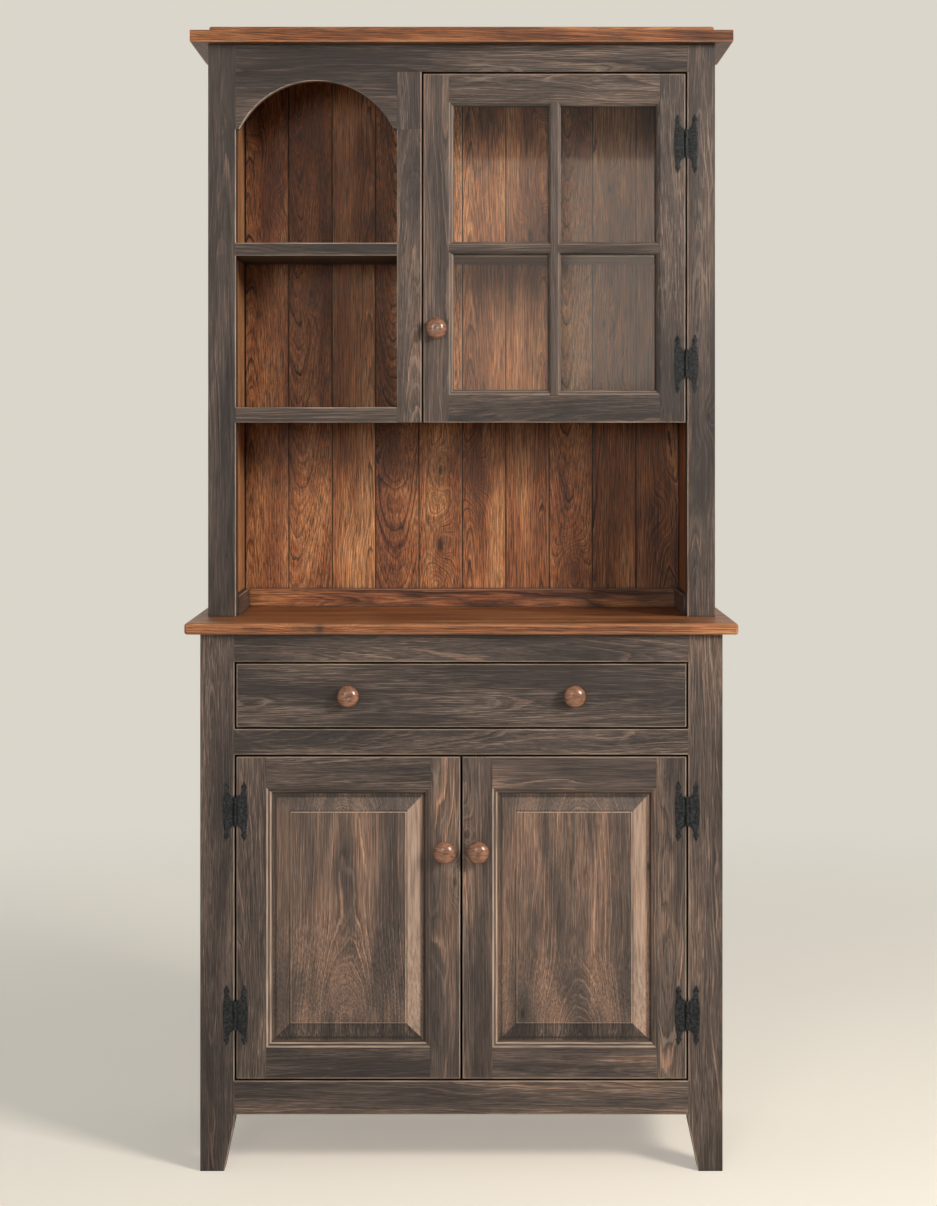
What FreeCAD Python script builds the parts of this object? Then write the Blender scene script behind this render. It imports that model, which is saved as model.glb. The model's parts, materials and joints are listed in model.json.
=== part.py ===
"""Step back cupboard: a base with a drawer and two panelled doors, and a shallower hutch above it.

Millimetres, +Z up, front towards -Y, origin at the bottom centre of the whole cupboard.
Every size below is a cell of the sheet "Sizes"; each piece is a body whose sketches,
lengths and placement are bound to those cells, so the cupboard follows a changed cell.
"""
import FreeCAD
import Part
import Sketcher
import math
import os

DRIVING_SIZES = {
    # the two cases
    "case_width": 878,
    "base_depth": 417,
    "hutch_setback": 140,
    "wall_inset": 42.5,
    "side_setback": 3,
    "post_depth": 45,
    "back_post_depth": 32,
    "rail_thickness": 22,
    "side_panel_thickness": 20,
    "back_board_thickness": 10,
    "back_board_recess": 4.5,
    "back_board_count": 10,
    "back_board_joint": 1.5,
    "back_rail_thickness": 18,
    "arris": 2,
    "tenon_length": 25,
    "tenon_thickness": 8,
    "tenon_shoulder": 8,
    "mortise_relief": 0.5,
    # base, from the floor up
    "base_stile_width": 57.5,
    "foot_height": 95,
    "foot_taper": 17,
    "foot_taper_height": 80,
    "bottom_rail_height": 57,
    "door_opening_height": 548,
    "mid_rail_height": 43,
    "drawer_opening_height": 113,
    "base_top_rail_height": 47,
    "base_side_rail_height": 70,
    "floor_thickness": 16,
    "base_shelf_height": 265,
    "base_shelf_thickness": 18,
    "base_shelf_depth": 290,
    "cleat_size": 20,
    # counter
    "counter_thickness": 19,
    "counter_front_overhang": 20,
    "counter_side_overhang": 25,
    "counter_round": 4.5,
    # hutch, from the counter up
    "hutch_stile_width": 48,
    "recess_height": 336,
    "hutch_opening_height": 607.5,
    "hutch_top_rail_height": 59.5,
    "bottom_shelf_thickness": 26.5,
    "middle_shelf_rise": 289,
    "middle_shelf_thickness": 22.5,
    "arch_bay_width": 279,
    "mid_stile_width": 42.5,
    "partition_thickness": 18,
    "arch_shoulder": 6,
    "arch_shoulder_drop": 99.5,
    "arch_rise": 84,
    "recess_rail_height": 33,
    "recess_side_rail_height": 34,
    "recess_side_rail_proud": 9,
    # top
    "top_board_thickness": 19,
    "top_board_inset": 2,
    "top_board_round": 3,
    "crown_height": 21,
    "crown_overhang": 29,
    "crown_step": 9.5,
    # doors and drawer
    "reveal": 3.5,
    "meeting_gap": 4,
    "door_thickness": 21.5,
    "door_stile": 50,
    "door_rail": 52,
    "door_sticking": 10.5,
    "groove_setback": 9.5,
    "groove_width": 6,
    "groove_depth": 9,
    "panel_play": 0.8,
    "panel_flat": 5,
    "panel_bevel": 25,
    "panel_bevel_rise": 6,
    "field_step": 2,
    "quirk": 1.2,
    "ovolo_radius": 12,
    "glass_door_stile": 44,
    "glass_door_rail": 48,
    "glass_sticking": 8.7,
    "rebate_setback": 9,
    "muntin_width": 23,
    "muntin_sticking": 5.2,
    "muntin_rib": 5,
    "glass_thickness": 3,
    "glass_play": 0.8,
    "bead_width": 6,
    "bead_depth": 7,
    "door_stop_size": 16,
    "door_stop_lap": 14,
    "door_stop_length": 120,
    "drawer_front_thickness": 20,
    "drawer_side_gap": 8,
    "drawer_side_thickness": 12,
    "drawer_side_height": 100,
    "drawer_back_clearance": 14.5,
    "drawer_bottom_thickness": 6,
    "drawer_bottom_rise": 9,
    "drawer_groove": 5,
    "runner_width": 40,
    "runner_thickness": 18,
    "guide_height": 18,
    "kicker_height": 28,
    "running_gap": 0.5,
    # knobs
    "knob_reach": 30,
    "knob_radius": 18.5,
    "knob_neck_radius": 7.5,
    "knob_neck_length": 14,
    "knob_rim_width": 6,
    "knob_crown_radius": 7,
    "drawer_knob_spacing": 380,
    "base_knob_drop": 158.5,
    "base_knob_inset": 26,
    "glass_knob_rise": 163,
    # surface hinges
    "base_hinge_top_inset": 91.5,
    "base_hinge_bottom_inset": 106.5,
    "glass_hinge_top_inset": 120.5,
    "glass_hinge_bottom_inset": 102,
    "leaf_thickness": 2,
    "leaf_reach": 21,
    "leaf_tip_height": 51,
    "leaf_tip_reach": 15,
    "barb_height": 40.5,
    "barb_outer": 19.8,
    "barb_inner": 9.6,
    "neck_height": 36.5,
    "neck_outer": 17.6,
    "neck_inner": 11.4,
    "flare_height": 29,
    "flare_reach": 9,
    "barrel_radius": 2.8,
    "barrel_clearance": 0.4,
    "knuckle_length": 16.3,
    "knuckle_gap": 0.4,
    "pin_radius": 1.45,
    "pin_fit": 0.05,
}

KNUCKLES = 3
FRAME_KNUCKLES = (0, 2)
DOOR_KNUCKLES = (1,)

# Axis across each sketch plane, and whether a pad has to be reversed to run along +axis.
PLANES = {"XY": ("z", 1, False), "XZ": ("y", -1, True), "YZ": ("x", 1, False)}

DOC = FreeCAD.newDocument("StepBackCupboard")
SHEET = DOC.addObject("Spreadsheet::Sheet", "Sizes")
PIECES = []


class Size:
    """A length that carries both its value and the sheet formula it comes from."""

    def __init__(self, value, text=None):
        self.value = float(value)
        self.text = text or repr(self.value)

    def _join(self, other, sign, result):
        return Size(result, "(%s %s %s)" % (self.text, sign, other.text))

    def __add__(self, other):
        other = as_size(other)
        return self._join(other, "+", self.value + other.value)

    def __sub__(self, other):
        other = as_size(other)
        return self._join(other, "-", self.value - other.value)

    def __mul__(self, other):
        other = as_size(other)
        return self._join(other, "*", self.value * other.value)

    def __truediv__(self, other):
        other = as_size(other)
        return self._join(other, "/", self.value / other.value)

    def __radd__(self, other):
        return as_size(other) + self

    def __rsub__(self, other):
        return as_size(other) - self

    def __rmul__(self, other):
        return as_size(other) * self

    def __neg__(self):
        return as_size(-1) * self


def as_size(number):
    """A plain number as a Size; a Size is returned as it is."""
    return number if isinstance(number, Size) else Size(number)


class Sizes:
    """The driving sizes: each attribute is a cell of the sheet."""

    def __init__(self, table):
        for row, (alias, number) in enumerate(table.items(), start=1):
            SHEET.set("A%d" % row, alias.replace("_", " "))
            SHEET.set("B%d" % row, str(number))
            SHEET.setAlias("B%d" % row, alias)
            setattr(self, alias, Size(number, "Sizes." + alias))
        DOC.recompute()


def bind(item, path, size):
    """Tie one property of an object to the sheet."""
    item.setExpression(path, as_size(size).text)


class Arc:
    """Says that the outline bows out to the given side on its way to the next corner."""

    def __init__(self, radius, left=False):
        self.radius = as_size(radius)
        self.left = left

    def between(self, start, end):
        """The arc from start to end; left is the side seen when walking that way."""
        chord = end.sub(start)
        middle = (start + end) * 0.5
        normal = FreeCAD.Vector(-chord.y, chord.x, 0) / chord.Length
        sagitta = self.radius.value - math.sqrt(self.radius.value ** 2 - chord.Length ** 2 / 4)
        return Part.Arc(start, middle + normal * (sagitta if self.left else -sagitta), end)


class Piece:
    """One piece of the cupboard: a PartDesign body whose features follow the sheet."""

    def __init__(self, label, at=(0, 0, 0), kept=True):
        self.body = DOC.addObject("PartDesign::Body", "Body")
        self.body.Label = label
        self.body.AllowCompound = True
        self.at = tuple(as_size(distance) for distance in at)
        for axis, distance in zip("xyz", self.at):
            bind(self.body, "Placement.Base." + axis, distance)
        if kept:
            PIECES.append(self.body)

    def origin(self, role):
        """One of the body's own origin planes or axes."""
        return [item for item in self.body.Origin.OriginFeatures if item.Role == role][0]

    def sketch(self, plane, loops, start):
        """Closed outlines on a plane at `start`; every corner is bound to the sheet."""
        axis, sign, _ = PLANES[plane]
        sketch = self.body.newObject("Sketcher::SketchObject", "Sketch")
        sketch.AttachmentSupport = (self.origin(plane + "_Plane"), [""])
        sketch.MapMode = "FlatFace"
        bind(sketch, "AttachmentOffset.Base.z", sign * as_size(start))
        for loop in loops:
            self._draw(sketch, [tuple(corner) for corner in loop])
        return sketch

    @staticmethod
    def _draw(sketch, corners):
        """Add one loop: (centre x, centre y, radius) alone is a circle, else corners in order."""
        if len(corners) == 1:
            across, up, radius = (as_size(number) for number in corners[0])
            centre = FreeCAD.Vector(across.value, up.value, 0)
            edge = sketch.addGeometry(Part.Circle(centre, FreeCAD.Vector(0, 0, 1), radius.value))
            fix_point(sketch, edge, 3, across, up)
            index = sketch.addConstraint(Sketcher.Constraint("Radius", edge, radius.value))
            bind(sketch, "Constraints[%d]" % index, radius)
            return
        points = [FreeCAD.Vector(as_size(c[0]).value, as_size(c[1]).value, 0) for c in corners]
        ends = []
        for index, corner in enumerate(corners):
            start, end = points[index], points[(index + 1) % len(points)]
            if len(corner) == 3:
                edge = sketch.addGeometry(corner[2].between(start, end))
                starts_first = sketch.getPoint(edge, 1).distanceToPoint(start) < \
                    sketch.getPoint(edge, 2).distanceToPoint(start)
                ends.append((edge, 1, 2) if starts_first else (edge, 2, 1))
            else:
                ends.append((sketch.addGeometry(Part.LineSegment(start, end)), 1, 2))
        for index, (edge, first, last) in enumerate(ends):
            following = ends[(index + 1) % len(ends)]
            sketch.addConstraint(Sketcher.Constraint("Coincident", edge, last, following[0], following[1]))
            fix_point(sketch, edge, first, corners[index][0], corners[index][1])
            if len(corners[index]) == 3:
                radius = corners[index][2].radius
                bound = sketch.addConstraint(Sketcher.Constraint("Radius", edge, radius.value))
                bind(sketch, "Constraints[%d]" % bound, radius)

    def pad(self, plane, loops, start, length):
        """Solid from outlines on a plane at `start`, running `length` along the plane's + axis."""
        feature = self.body.newObject("PartDesign::Pad", "Pad")
        feature.Profile = self.sketch(plane, loops, start)
        feature.Reversed = PLANES[plane][2]
        bind(feature, "Length", length)
        self.body.Tip = feature
        return self

    def pocket(self, plane, loops, start, length):
        """Cut outlines on a plane at `start`, running `length` along the plane's + axis."""
        feature = self.body.newObject("PartDesign::Pocket", "Pocket")
        feature.Profile = self.sketch(plane, loops, start)
        feature.Reversed = not PLANES[plane][2]
        bind(feature, "Length", length)
        self.body.Tip = feature
        return self

    def loft(self, plane, outline, start, other_outline, other_start):
        """Straight-sided solid between two outlines on parallel planes."""
        profile = self.sketch(plane, [outline], start)
        section = self.sketch(plane, [other_outline], other_start)
        feature = self.body.newObject("PartDesign::AdditiveLoft", "Loft")
        feature.Profile = profile
        feature.Sections = [section]
        feature.Ruled = True
        self.body.Tip = feature
        return self

    def turn(self, plane, loops, start, axis="H_Axis"):
        """Solid turned about one of the sketch's axes."""
        sketch = self.sketch(plane, loops, start)
        feature = self.body.newObject("PartDesign::Revolution", "Turning")
        feature.Profile = sketch
        feature.ReferenceAxis = (sketch, [axis])
        feature.Angle = 360
        self.body.Tip = feature
        return self

    def mirror(self):
        """Add the other one of a left and right pair, about the cupboard's centre plane."""
        feature = self.body.newObject("PartDesign::Mirrored", "Pair")
        feature.Originals = [item for item in self.body.Group
                             if item.TypeId in ("PartDesign::Pad", "PartDesign::Pocket",
                                                "PartDesign::Revolution")]
        feature.MirrorPlane = (self.origin("YZ_Plane"), [""])
        self.body.Tip = feature
        return self

    def row(self, pitch, count):
        """Repeat the piece's features along X."""
        feature = self.body.newObject("PartDesign::LinearPattern", "Row")
        feature.Originals = [item for item in self.body.Group if item.TypeId == "PartDesign::Pad"]
        feature.Direction = (self.origin("X_Axis"), [""])
        bind(feature, "Length", pitch * (count - 1))
        bind(feature, "Occurrences", count)
        self.body.Tip = feature
        return self

    def ease(self, size, *lines, rounded=False, curved=False):
        """Break the arrises that lie on the given lines, each a dict such as {"y": front, "x": end}.

        With `curved`, only arcs are taken; without it, only straight edges.
        """
        DOC.recompute()
        tip = self.body.Tip
        wanted = [{axis: as_size(place).value for axis, place in line.items()} for line in lines]
        names = []
        for index, edge in enumerate(tip.Shape.Edges, start=1):
            if curved != (edge.Curve.TypeId == "Part::GeomCircle"):
                continue
            points = [vertex.Point for vertex in edge.Vertexes]
            if any(all(abs(getattr(point, axis) - place) < 0.01 for point in points
                       for axis, place in line.items()) for line in wanted):
                names.append("Edge%d" % index)
        feature = self.body.newObject("PartDesign::Fillet" if rounded else "PartDesign::Chamfer", "Arris")
        feature.Base = (tip, names)
        bind(feature, "Radius" if rounded else "Size", size)
        self.body.Tip = feature
        return self


def fix_point(sketch, edge, point, across, up):
    """Tie a sketch point's two coordinates to the sheet."""
    for kind, size in (("DistanceX", as_size(across)), ("DistanceY", as_size(up))):
        index = sketch.addConstraint(Sketcher.Constraint(kind, -1, 1, edge, point, size.value))
        bind(sketch, "Constraints[%d]" % index, size)


def rectangle(low_x, low_y, high_x, high_y):
    """A four-cornered loop."""
    return [(low_x, low_y), (high_x, low_y), (high_x, high_y), (low_x, high_y)]


def board(label, low, high):
    """A squared board between two opposite corners, placed at its low corner."""
    size = [as_size(far) - near for near, far in zip(low, high)]
    return Piece(label, low).pad("XY", [rectangle(0, 0, size[0], size[1])], 0, size[2])


def cope(bar, tool):
    """A bar with the shape of the pieces that it meets cut out of its ends."""
    cut = DOC.addObject("Part::Cut", "Coped")
    cut.Base = bar
    cut.Tool = tool
    return cut


def together(label, solids):
    """One named piece that is several separate solids."""
    group = DOC.addObject("Part::Compound", "Group")
    group.Label = label
    group.Links = solids
    PIECES.append(group)


s = Sizes(DRIVING_SIZES)

# Depths, from the base's front face to the back.
face = (s.knob_reach - s.base_depth) / 2
back = face + s.base_depth
hutch_face = face + s.hutch_setback
board_back = back - s.back_board_recess
board_face = board_back - s.back_board_thickness

# Heights.
rail_bottom = s.foot_height
door_sill = rail_bottom + s.bottom_rail_height
door_head = door_sill + s.door_opening_height
drawer_sill = door_head + s.mid_rail_height
drawer_head = drawer_sill + s.drawer_opening_height
base_top = drawer_head + s.base_top_rail_height
counter_top = base_top + s.counter_thickness
shelf_bottom = counter_top + s.recess_height
shelf_top = shelf_bottom + s.bottom_shelf_thickness
middle_bottom = shelf_bottom + s.middle_shelf_rise
middle_top = middle_bottom + s.middle_shelf_thickness
hutch_head = shelf_bottom + s.hutch_opening_height
hutch_top = hutch_head + s.hutch_top_rail_height
cupboard_top = hutch_top + s.top_board_thickness
crown_top = cupboard_top - s.crown_step

# Half widths about the centre plane.
half = s.case_width / 2
base_jamb = half - s.base_stile_width
hutch_jamb = half - s.hutch_stile_width
wall = half - s.wall_inset
mid_stile_left = -hutch_jamb + s.arch_bay_width
mid_stile_right = mid_stile_left + s.mid_stile_width
partition_left = mid_stile_left + (s.mid_stile_width - s.partition_thickness) / 2
partition_right = partition_left + s.partition_thickness


def stopped_arris(piece, edge_x, inward, stretches):
    """Ease a post's inner front arris only along its openings; `inward` is the side they are on."""
    corner = [(edge_x, 0), (edge_x, s.arris), (edge_x - inward * s.arris, 0)]
    for low, high in stretches:
        piece.pocket("XY", [corner], low, high - low)


def tenon(rail, shoulder_x, outward, low_y, rail_low, rail_height):
    """A tenon on a rail's end, in the rail's own coordinates."""
    depth = (s.rail_thickness - s.tenon_thickness) / 2 + low_y
    end = shoulder_x + outward * s.tenon_length
    low_z = rail_low + s.tenon_shoulder
    loop = [(shoulder_x, low_z), (end, low_z),
            (end, rail_low + rail_height - s.tenon_shoulder),
            (shoulder_x, rail_low + rail_height - s.tenon_shoulder)]
    rail.pad("XZ", [loop], depth, s.tenon_thickness)


def mortises(post, jamb_x, outward, rails):
    """The holes in a post that take the rails' tenons, a little deeper than the tenons."""
    depth = (s.rail_thickness - s.tenon_thickness) / 2
    end = jamb_x + outward * (s.tenon_length + s.mortise_relief)
    loops = []
    for rail_low, rail_height in rails:
        low_z = rail_low + s.tenon_shoulder
        high_z = rail_low + rail_height - s.tenon_shoulder
        loops.append([(jamb_x, low_z), (end, low_z), (end, high_z), (jamb_x, high_z)])
    post.pocket("XZ", loops, depth, s.tenon_thickness)


def front_rail(label, face_y, jamb, low, height):
    """A rail between the front posts, tenoned into both, with its front arrises eased."""
    rail = Piece(label, (0, face_y, low))
    rail.pad("XZ", [rectangle(-jamb, 0, jamb, height)], 0, s.rail_thickness)
    rail.ease(s.arris / 2, {"y": 0, "z": 0}, {"y": 0, "z": height})
    for outward in (-1, 1):
        tenon(rail, outward * jamb, outward, Size(0), Size(0), height)
    return rail


# ---- base case ----

def base_post(label, side):
    """A front post: a stile with a foot that tapers on its inner edge."""
    post = Piece(label, (0, face, 0))
    outer = side * half
    inner = side * base_jamb
    foot = side * (base_jamb + s.foot_taper)
    post.pad("XZ", [[(outer, 0), (foot, 0), (inner, s.foot_taper_height), (inner, base_top),
                     (outer, base_top)]], 0, s.post_depth)
    post.ease(s.arris / 2, {"y": 0, "x": outer})
    stopped_arris(post, inner, -side, [(door_sill, door_head), (drawer_sill, drawer_head)])
    mortises(post, inner, side, [(rail_bottom, s.bottom_rail_height), (door_head, s.mid_rail_height),
                                 (drawer_head, s.base_top_rail_height)])


base_post("base_post_front_left", -1)
base_post("base_post_front_right", 1)

Piece("base_posts_back", (0, back - s.back_post_depth, 0)).pad(
    "XZ", [[(base_jamb + s.foot_taper, 0), (half, 0), (half, base_top), (base_jamb, base_top),
            (base_jamb, s.foot_taper_height)]], 0, s.back_post_depth).mirror()

front_rail("base_top_rail", face, base_jamb, drawer_head, s.base_top_rail_height)
front_rail("base_mid_rail", face, base_jamb, door_head, s.mid_rail_height)
front_rail("base_bottom_rail", face, base_jamb, rail_bottom, s.bottom_rail_height)

side_front = face + s.post_depth
side_back = back - s.back_post_depth
side_length = side_back - side_front
side_outer = half - s.side_setback
panel_outer = wall + s.side_panel_thickness
base_panel_low = rail_bottom + s.base_side_rail_height
base_panel_high = base_top - s.base_side_rail_height

Piece("base_side_rails", (0, side_front, 0)).pad(
    "XZ", [rectangle(wall, rail_bottom, side_outer, base_panel_low),
           rectangle(wall, base_panel_high, side_outer, base_top)], 0, side_length).mirror()
Piece("base_side_panels", (0, side_front, base_panel_low)).pad(
    "XY", [rectangle(wall, 0, panel_outer, side_length)], 0, base_panel_high - base_panel_low).mirror()

back_rail_face = board_face - s.back_rail_thickness
Piece("base_back_rails", (0, back_rail_face, 0)).pad(
    "XZ", [rectangle(-base_jamb, rail_bottom, base_jamb, door_sill),
           rectangle(-base_jamb, drawer_head, base_jamb, base_top)], 0, s.back_rail_thickness)


def back_boards(label, low_x, high_x, low_z, high_z):
    """Upright boards side by side, each with eased front arrises that make a V at every joint."""
    width = (high_x - low_x) / s.back_board_count
    bevel = s.back_board_joint
    thick = s.back_board_thickness
    outline = [(bevel, 0), (width - bevel, 0), (width, bevel), (width, thick), (0, thick), (0, bevel)]
    Piece(label, (low_x, board_face, low_z)).pad(
        "XY", [outline], 0, high_z - low_z).row(width, s.back_board_count)


back_boards("base_back_boards", -base_jamb, base_jamb, rail_bottom, base_top)


def notched_board(label, low_z, thickness, outline):
    """A horizontal board cut to an outline in plan."""
    return Piece(label, (0, 0, low_z)).pad("XY", [outline], 0, thickness)


rail_back = face + s.rail_thickness
notched_board("base_floor_board", door_sill - s.floor_thickness, s.floor_thickness, [
    (-base_jamb, rail_back), (base_jamb, rail_back), (base_jamb, side_front), (wall, side_front),
    (wall, side_back), (base_jamb, side_back), (base_jamb, back_rail_face), (-base_jamb, back_rail_face),
    (-base_jamb, side_back), (-wall, side_back), (-wall, side_front), (-base_jamb, side_front)])

base_shelf_bottom = door_sill + s.base_shelf_height
notched_board("base_shelf", base_shelf_bottom, s.base_shelf_thickness, [
    (-wall, board_face - s.base_shelf_depth), (wall, board_face - s.base_shelf_depth),
    (wall, side_back), (base_jamb, side_back), (base_jamb, board_face), (-base_jamb, board_face),
    (-base_jamb, side_back), (-wall, side_back)])

floor_bottom = door_sill - s.floor_thickness
Piece("base_cleats", (0, side_front, 0)).pad("XZ", [
    rectangle(wall - s.cleat_size, floor_bottom - s.cleat_size, wall, floor_bottom),
    rectangle(wall - s.cleat_size, base_shelf_bottom - s.cleat_size, wall, base_shelf_bottom)],
    0, side_length - s.cleat_size).mirror()

# Drawer runners with a guide on their outer edge, and kickers that stop the drawer tipping.
runner_inner = base_jamb - s.runner_width
guide_inner = base_jamb - s.drawer_side_gap + s.running_gap
runner_length = back_rail_face - rail_back
kicker_bottom = drawer_sill + s.running_gap * 2 + s.drawer_side_height
Piece("drawer_runners", (0, rail_back, 0)).pad("XZ", [
    [(runner_inner, drawer_sill - s.runner_thickness), (base_jamb, drawer_sill - s.runner_thickness),
     (base_jamb, drawer_sill + s.guide_height), (guide_inner, drawer_sill + s.guide_height),
     (guide_inner, drawer_sill), (runner_inner, drawer_sill)],
    rectangle(runner_inner, kicker_bottom, base_jamb, kicker_bottom + s.kicker_height)],
    0, runner_length).mirror()

counter_half = half + s.counter_side_overhang
counter_front = face - s.counter_front_overhang
countertop = board("countertop", (-counter_half, counter_front, base_top), (counter_half, back, counter_top))
countertop_width = counter_half * 2
countertop.ease(s.counter_round, {"y": 0, "z": 0}, {"y": 0, "z": s.counter_thickness},
                {"x": 0, "z": s.counter_thickness}, {"x": countertop_width, "z": s.counter_thickness},
                {"x": 0, "z": 0}, {"x": countertop_width, "z": 0}, rounded=True)

# ---- hutch case ----


def hutch_post(label, side, rails, stretches):
    """A front post of the hutch, standing on the counter."""
    post = Piece(label, (0, hutch_face, counter_top))
    outer = side * half
    inner = side * hutch_jamb
    post.pad("XZ", [[(outer, 0), (inner, 0), (inner, hutch_top - counter_top),
                     (outer, hutch_top - counter_top)]], 0, s.post_depth)
    post.ease(s.arris / 2, {"y": 0, "x": outer})
    stopped_arris(post, inner, -side,
                  [(low - counter_top, high - counter_top) for low, high in stretches])
    mortises(post, inner, side, [(low - counter_top, height) for low, height in rails])


arch_spring = hutch_head - s.arch_shoulder_drop
hutch_rails = [(hutch_head, s.hutch_top_rail_height)]
hutch_post("hutch_post_front_left", -1, hutch_rails,
           [(counter_top, shelf_bottom), (shelf_top, middle_bottom), (middle_top, arch_spring)])
hutch_post("hutch_post_front_right", 1, hutch_rails,
           [(counter_top, shelf_bottom), (shelf_bottom, hutch_head)])

Piece("hutch_posts_back", (0, side_back, counter_top)).pad(
    "XY", [rectangle(wall, 0, half, s.back_post_depth)], 0, hutch_top - counter_top).mirror()

front_rail("hutch_top_rail", hutch_face, hutch_jamb, hutch_head, s.hutch_top_rail_height)

hutch_side_front = hutch_face + s.post_depth
hutch_side_length = side_back - hutch_side_front
recess_rail_inner = wall - s.recess_side_rail_proud
hutch_panel_low = counter_top + s.recess_side_rail_height
Piece("hutch_side_rails", (0, hutch_side_front, 0)).pad("XZ", [
    rectangle(recess_rail_inner, counter_top, side_outer, hutch_panel_low),
    rectangle(wall, hutch_head, side_outer, hutch_top)], 0, hutch_side_length).mirror()
Piece("hutch_side_panels", (0, hutch_side_front, hutch_panel_low)).pad(
    "XY", [rectangle(wall, 0, panel_outer, hutch_side_length)], 0, hutch_head - hutch_panel_low).mirror()

back_boards("hutch_back_boards", -wall, wall, counter_top, hutch_top)

board("hutch_back_rail", (-recess_rail_inner, board_face - s.back_rail_thickness, counter_top),
      (recess_rail_inner, board_face, counter_top + s.recess_rail_height)).ease(
    s.arris / 2, {"y": 0, "z": s.recess_rail_height})

# The shelves fill the case between walls and boards and reach forward between the front members.
hutch_rail_back = hutch_face + s.rail_thickness
door_pocket = hutch_rail_back + s.arris
notched_board("hutch_bottom_shelf", shelf_bottom, s.bottom_shelf_thickness, [
    (-hutch_jamb, hutch_face), (mid_stile_left, hutch_face), (mid_stile_left, hutch_rail_back),
    (mid_stile_right, hutch_rail_back), (mid_stile_right, door_pocket), (hutch_jamb, door_pocket),
    (hutch_jamb, hutch_side_front), (wall, hutch_side_front), (wall, board_face),
    (-wall, board_face), (-wall, hutch_side_front), (-hutch_jamb, hutch_side_front)]).ease(
    s.arris, {"y": hutch_face, "z": s.bottom_shelf_thickness}, {"y": hutch_face, "z": 0})
notched_board("hutch_shelf_left", middle_bottom, s.middle_shelf_thickness, [
    (-hutch_jamb, hutch_face), (mid_stile_left, hutch_face), (mid_stile_left, hutch_rail_back),
    (partition_left, hutch_rail_back), (partition_left, board_face), (-wall, board_face),
    (-wall, hutch_side_front), (-hutch_jamb, hutch_side_front)]).ease(
    s.arris, {"y": hutch_face, "z": s.middle_shelf_thickness}, {"y": hutch_face, "z": 0})
notched_board("hutch_shelf_right", middle_bottom, s.middle_shelf_thickness, [
    (partition_right, door_pocket), (hutch_jamb, door_pocket), (hutch_jamb, hutch_side_front),
    (wall, hutch_side_front), (wall, board_face), (partition_right, board_face)]).ease(
    s.arris / 2, {"y": door_pocket, "z": s.middle_shelf_thickness}, {"y": door_pocket, "z": 0})

board("hutch_partition", (partition_left, hutch_rail_back, shelf_top),
      (partition_right, board_face, hutch_top))

mid_stile = Piece("hutch_mid_stile", (mid_stile_left, hutch_face, shelf_bottom))
mid_stile.pad("XY", [rectangle(0, 0, s.mid_stile_width, s.rail_thickness)], 0, s.hutch_opening_height)
for low, high in ((s.bottom_shelf_thickness, s.middle_shelf_rise),
                  (s.middle_shelf_rise + s.middle_shelf_thickness, arch_spring - shelf_bottom)):
    mid_stile.pocket("XY", [[(0, 0), (s.arris, 0), (0, s.arris)]], low, high - low)
mid_stile.ease(s.arris / 2, {"x": s.mid_stile_width, "y": 0})

arch_chord = s.arch_bay_width - 2 * s.arch_shoulder
arch_radius = (arch_chord * arch_chord / 4 + s.arch_rise * s.arch_rise) / (2 * s.arch_rise)
arch_board = Piece("hutch_arch_board", (-hutch_jamb, hutch_face, arch_spring))
arch_board.pad("XZ", [[
    (0, 0), (s.arch_shoulder, 0, Arc(arch_radius, left=True)), (s.arch_bay_width - s.arch_shoulder, 0),
    (s.arch_bay_width, 0), (s.arch_bay_width, s.arch_shoulder_drop), (0, s.arch_shoulder_drop)]],
    0, s.rail_thickness)
arch_board.ease(s.arris, {"y": 0}, curved=True)

# ---- top board and crown ----
top_half = half - s.top_board_inset
top_board = board("hutch_top_board", (-top_half, hutch_face, hutch_top), (top_half, back, cupboard_top))
top_board.ease(s.top_board_round, {"y": 0, "z": s.top_board_thickness},
               {"x": 0, "z": s.top_board_thickness}, {"x": top_half * 2, "z": s.top_board_thickness},
               rounded=True)

crown_bottom = crown_top - s.crown_height
crown_half = half + s.crown_overhang
crown_nose = -s.crown_overhang
Piece("crown_front", (0, hutch_face, crown_bottom)).pad("XY", [
    [(-crown_half, crown_nose), (crown_half, crown_nose), (half, 0), (-half, 0)]], 0, s.crown_height).ease(
    s.arris / 2, {"y": crown_nose, "z": 0}, {"y": crown_nose, "z": s.crown_height})
Piece("crown_sides", (0, hutch_face, crown_bottom)).pad("XY", [
    [(half, 0), (crown_half, crown_nose), (crown_half, back - hutch_face), (half, back - hutch_face)]],
    0, s.crown_height).mirror()

# Stops behind the heads of the doors.
Piece("door_stops").pad("XZ", [
    rectangle(-s.door_stop_length / 2, door_head - s.door_stop_lap,
              s.door_stop_length / 2, door_head + s.door_stop_size)],
    rail_back, s.door_stop_size).pad("XZ", [
        rectangle(partition_right, hutch_head - s.door_stop_lap,
                  partition_right + s.door_stop_length, hutch_head + s.door_stop_size)],
    hutch_rail_back, s.door_stop_size)


# ---- drawer ----
drawer_front_low = drawer_sill + s.reveal
drawer_front_back = face + s.drawer_front_thickness
drawer_bottom_low = drawer_sill + s.running_gap
drawer_half = base_jamb - s.drawer_side_gap
drawer_inner = drawer_half - s.drawer_side_thickness
tray_low = drawer_bottom_low + s.drawer_bottom_rise
tray_high = tray_low + s.drawer_bottom_thickness
tray_overlap = s.drawer_groove - s.panel_play
drawer_end = back_rail_face - s.drawer_back_clearance
drawer_depth = drawer_end - drawer_front_back
drawer_front_width = (base_jamb - s.reveal) * 2
drawer_front_height = s.drawer_opening_height - s.reveal * 2

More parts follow.
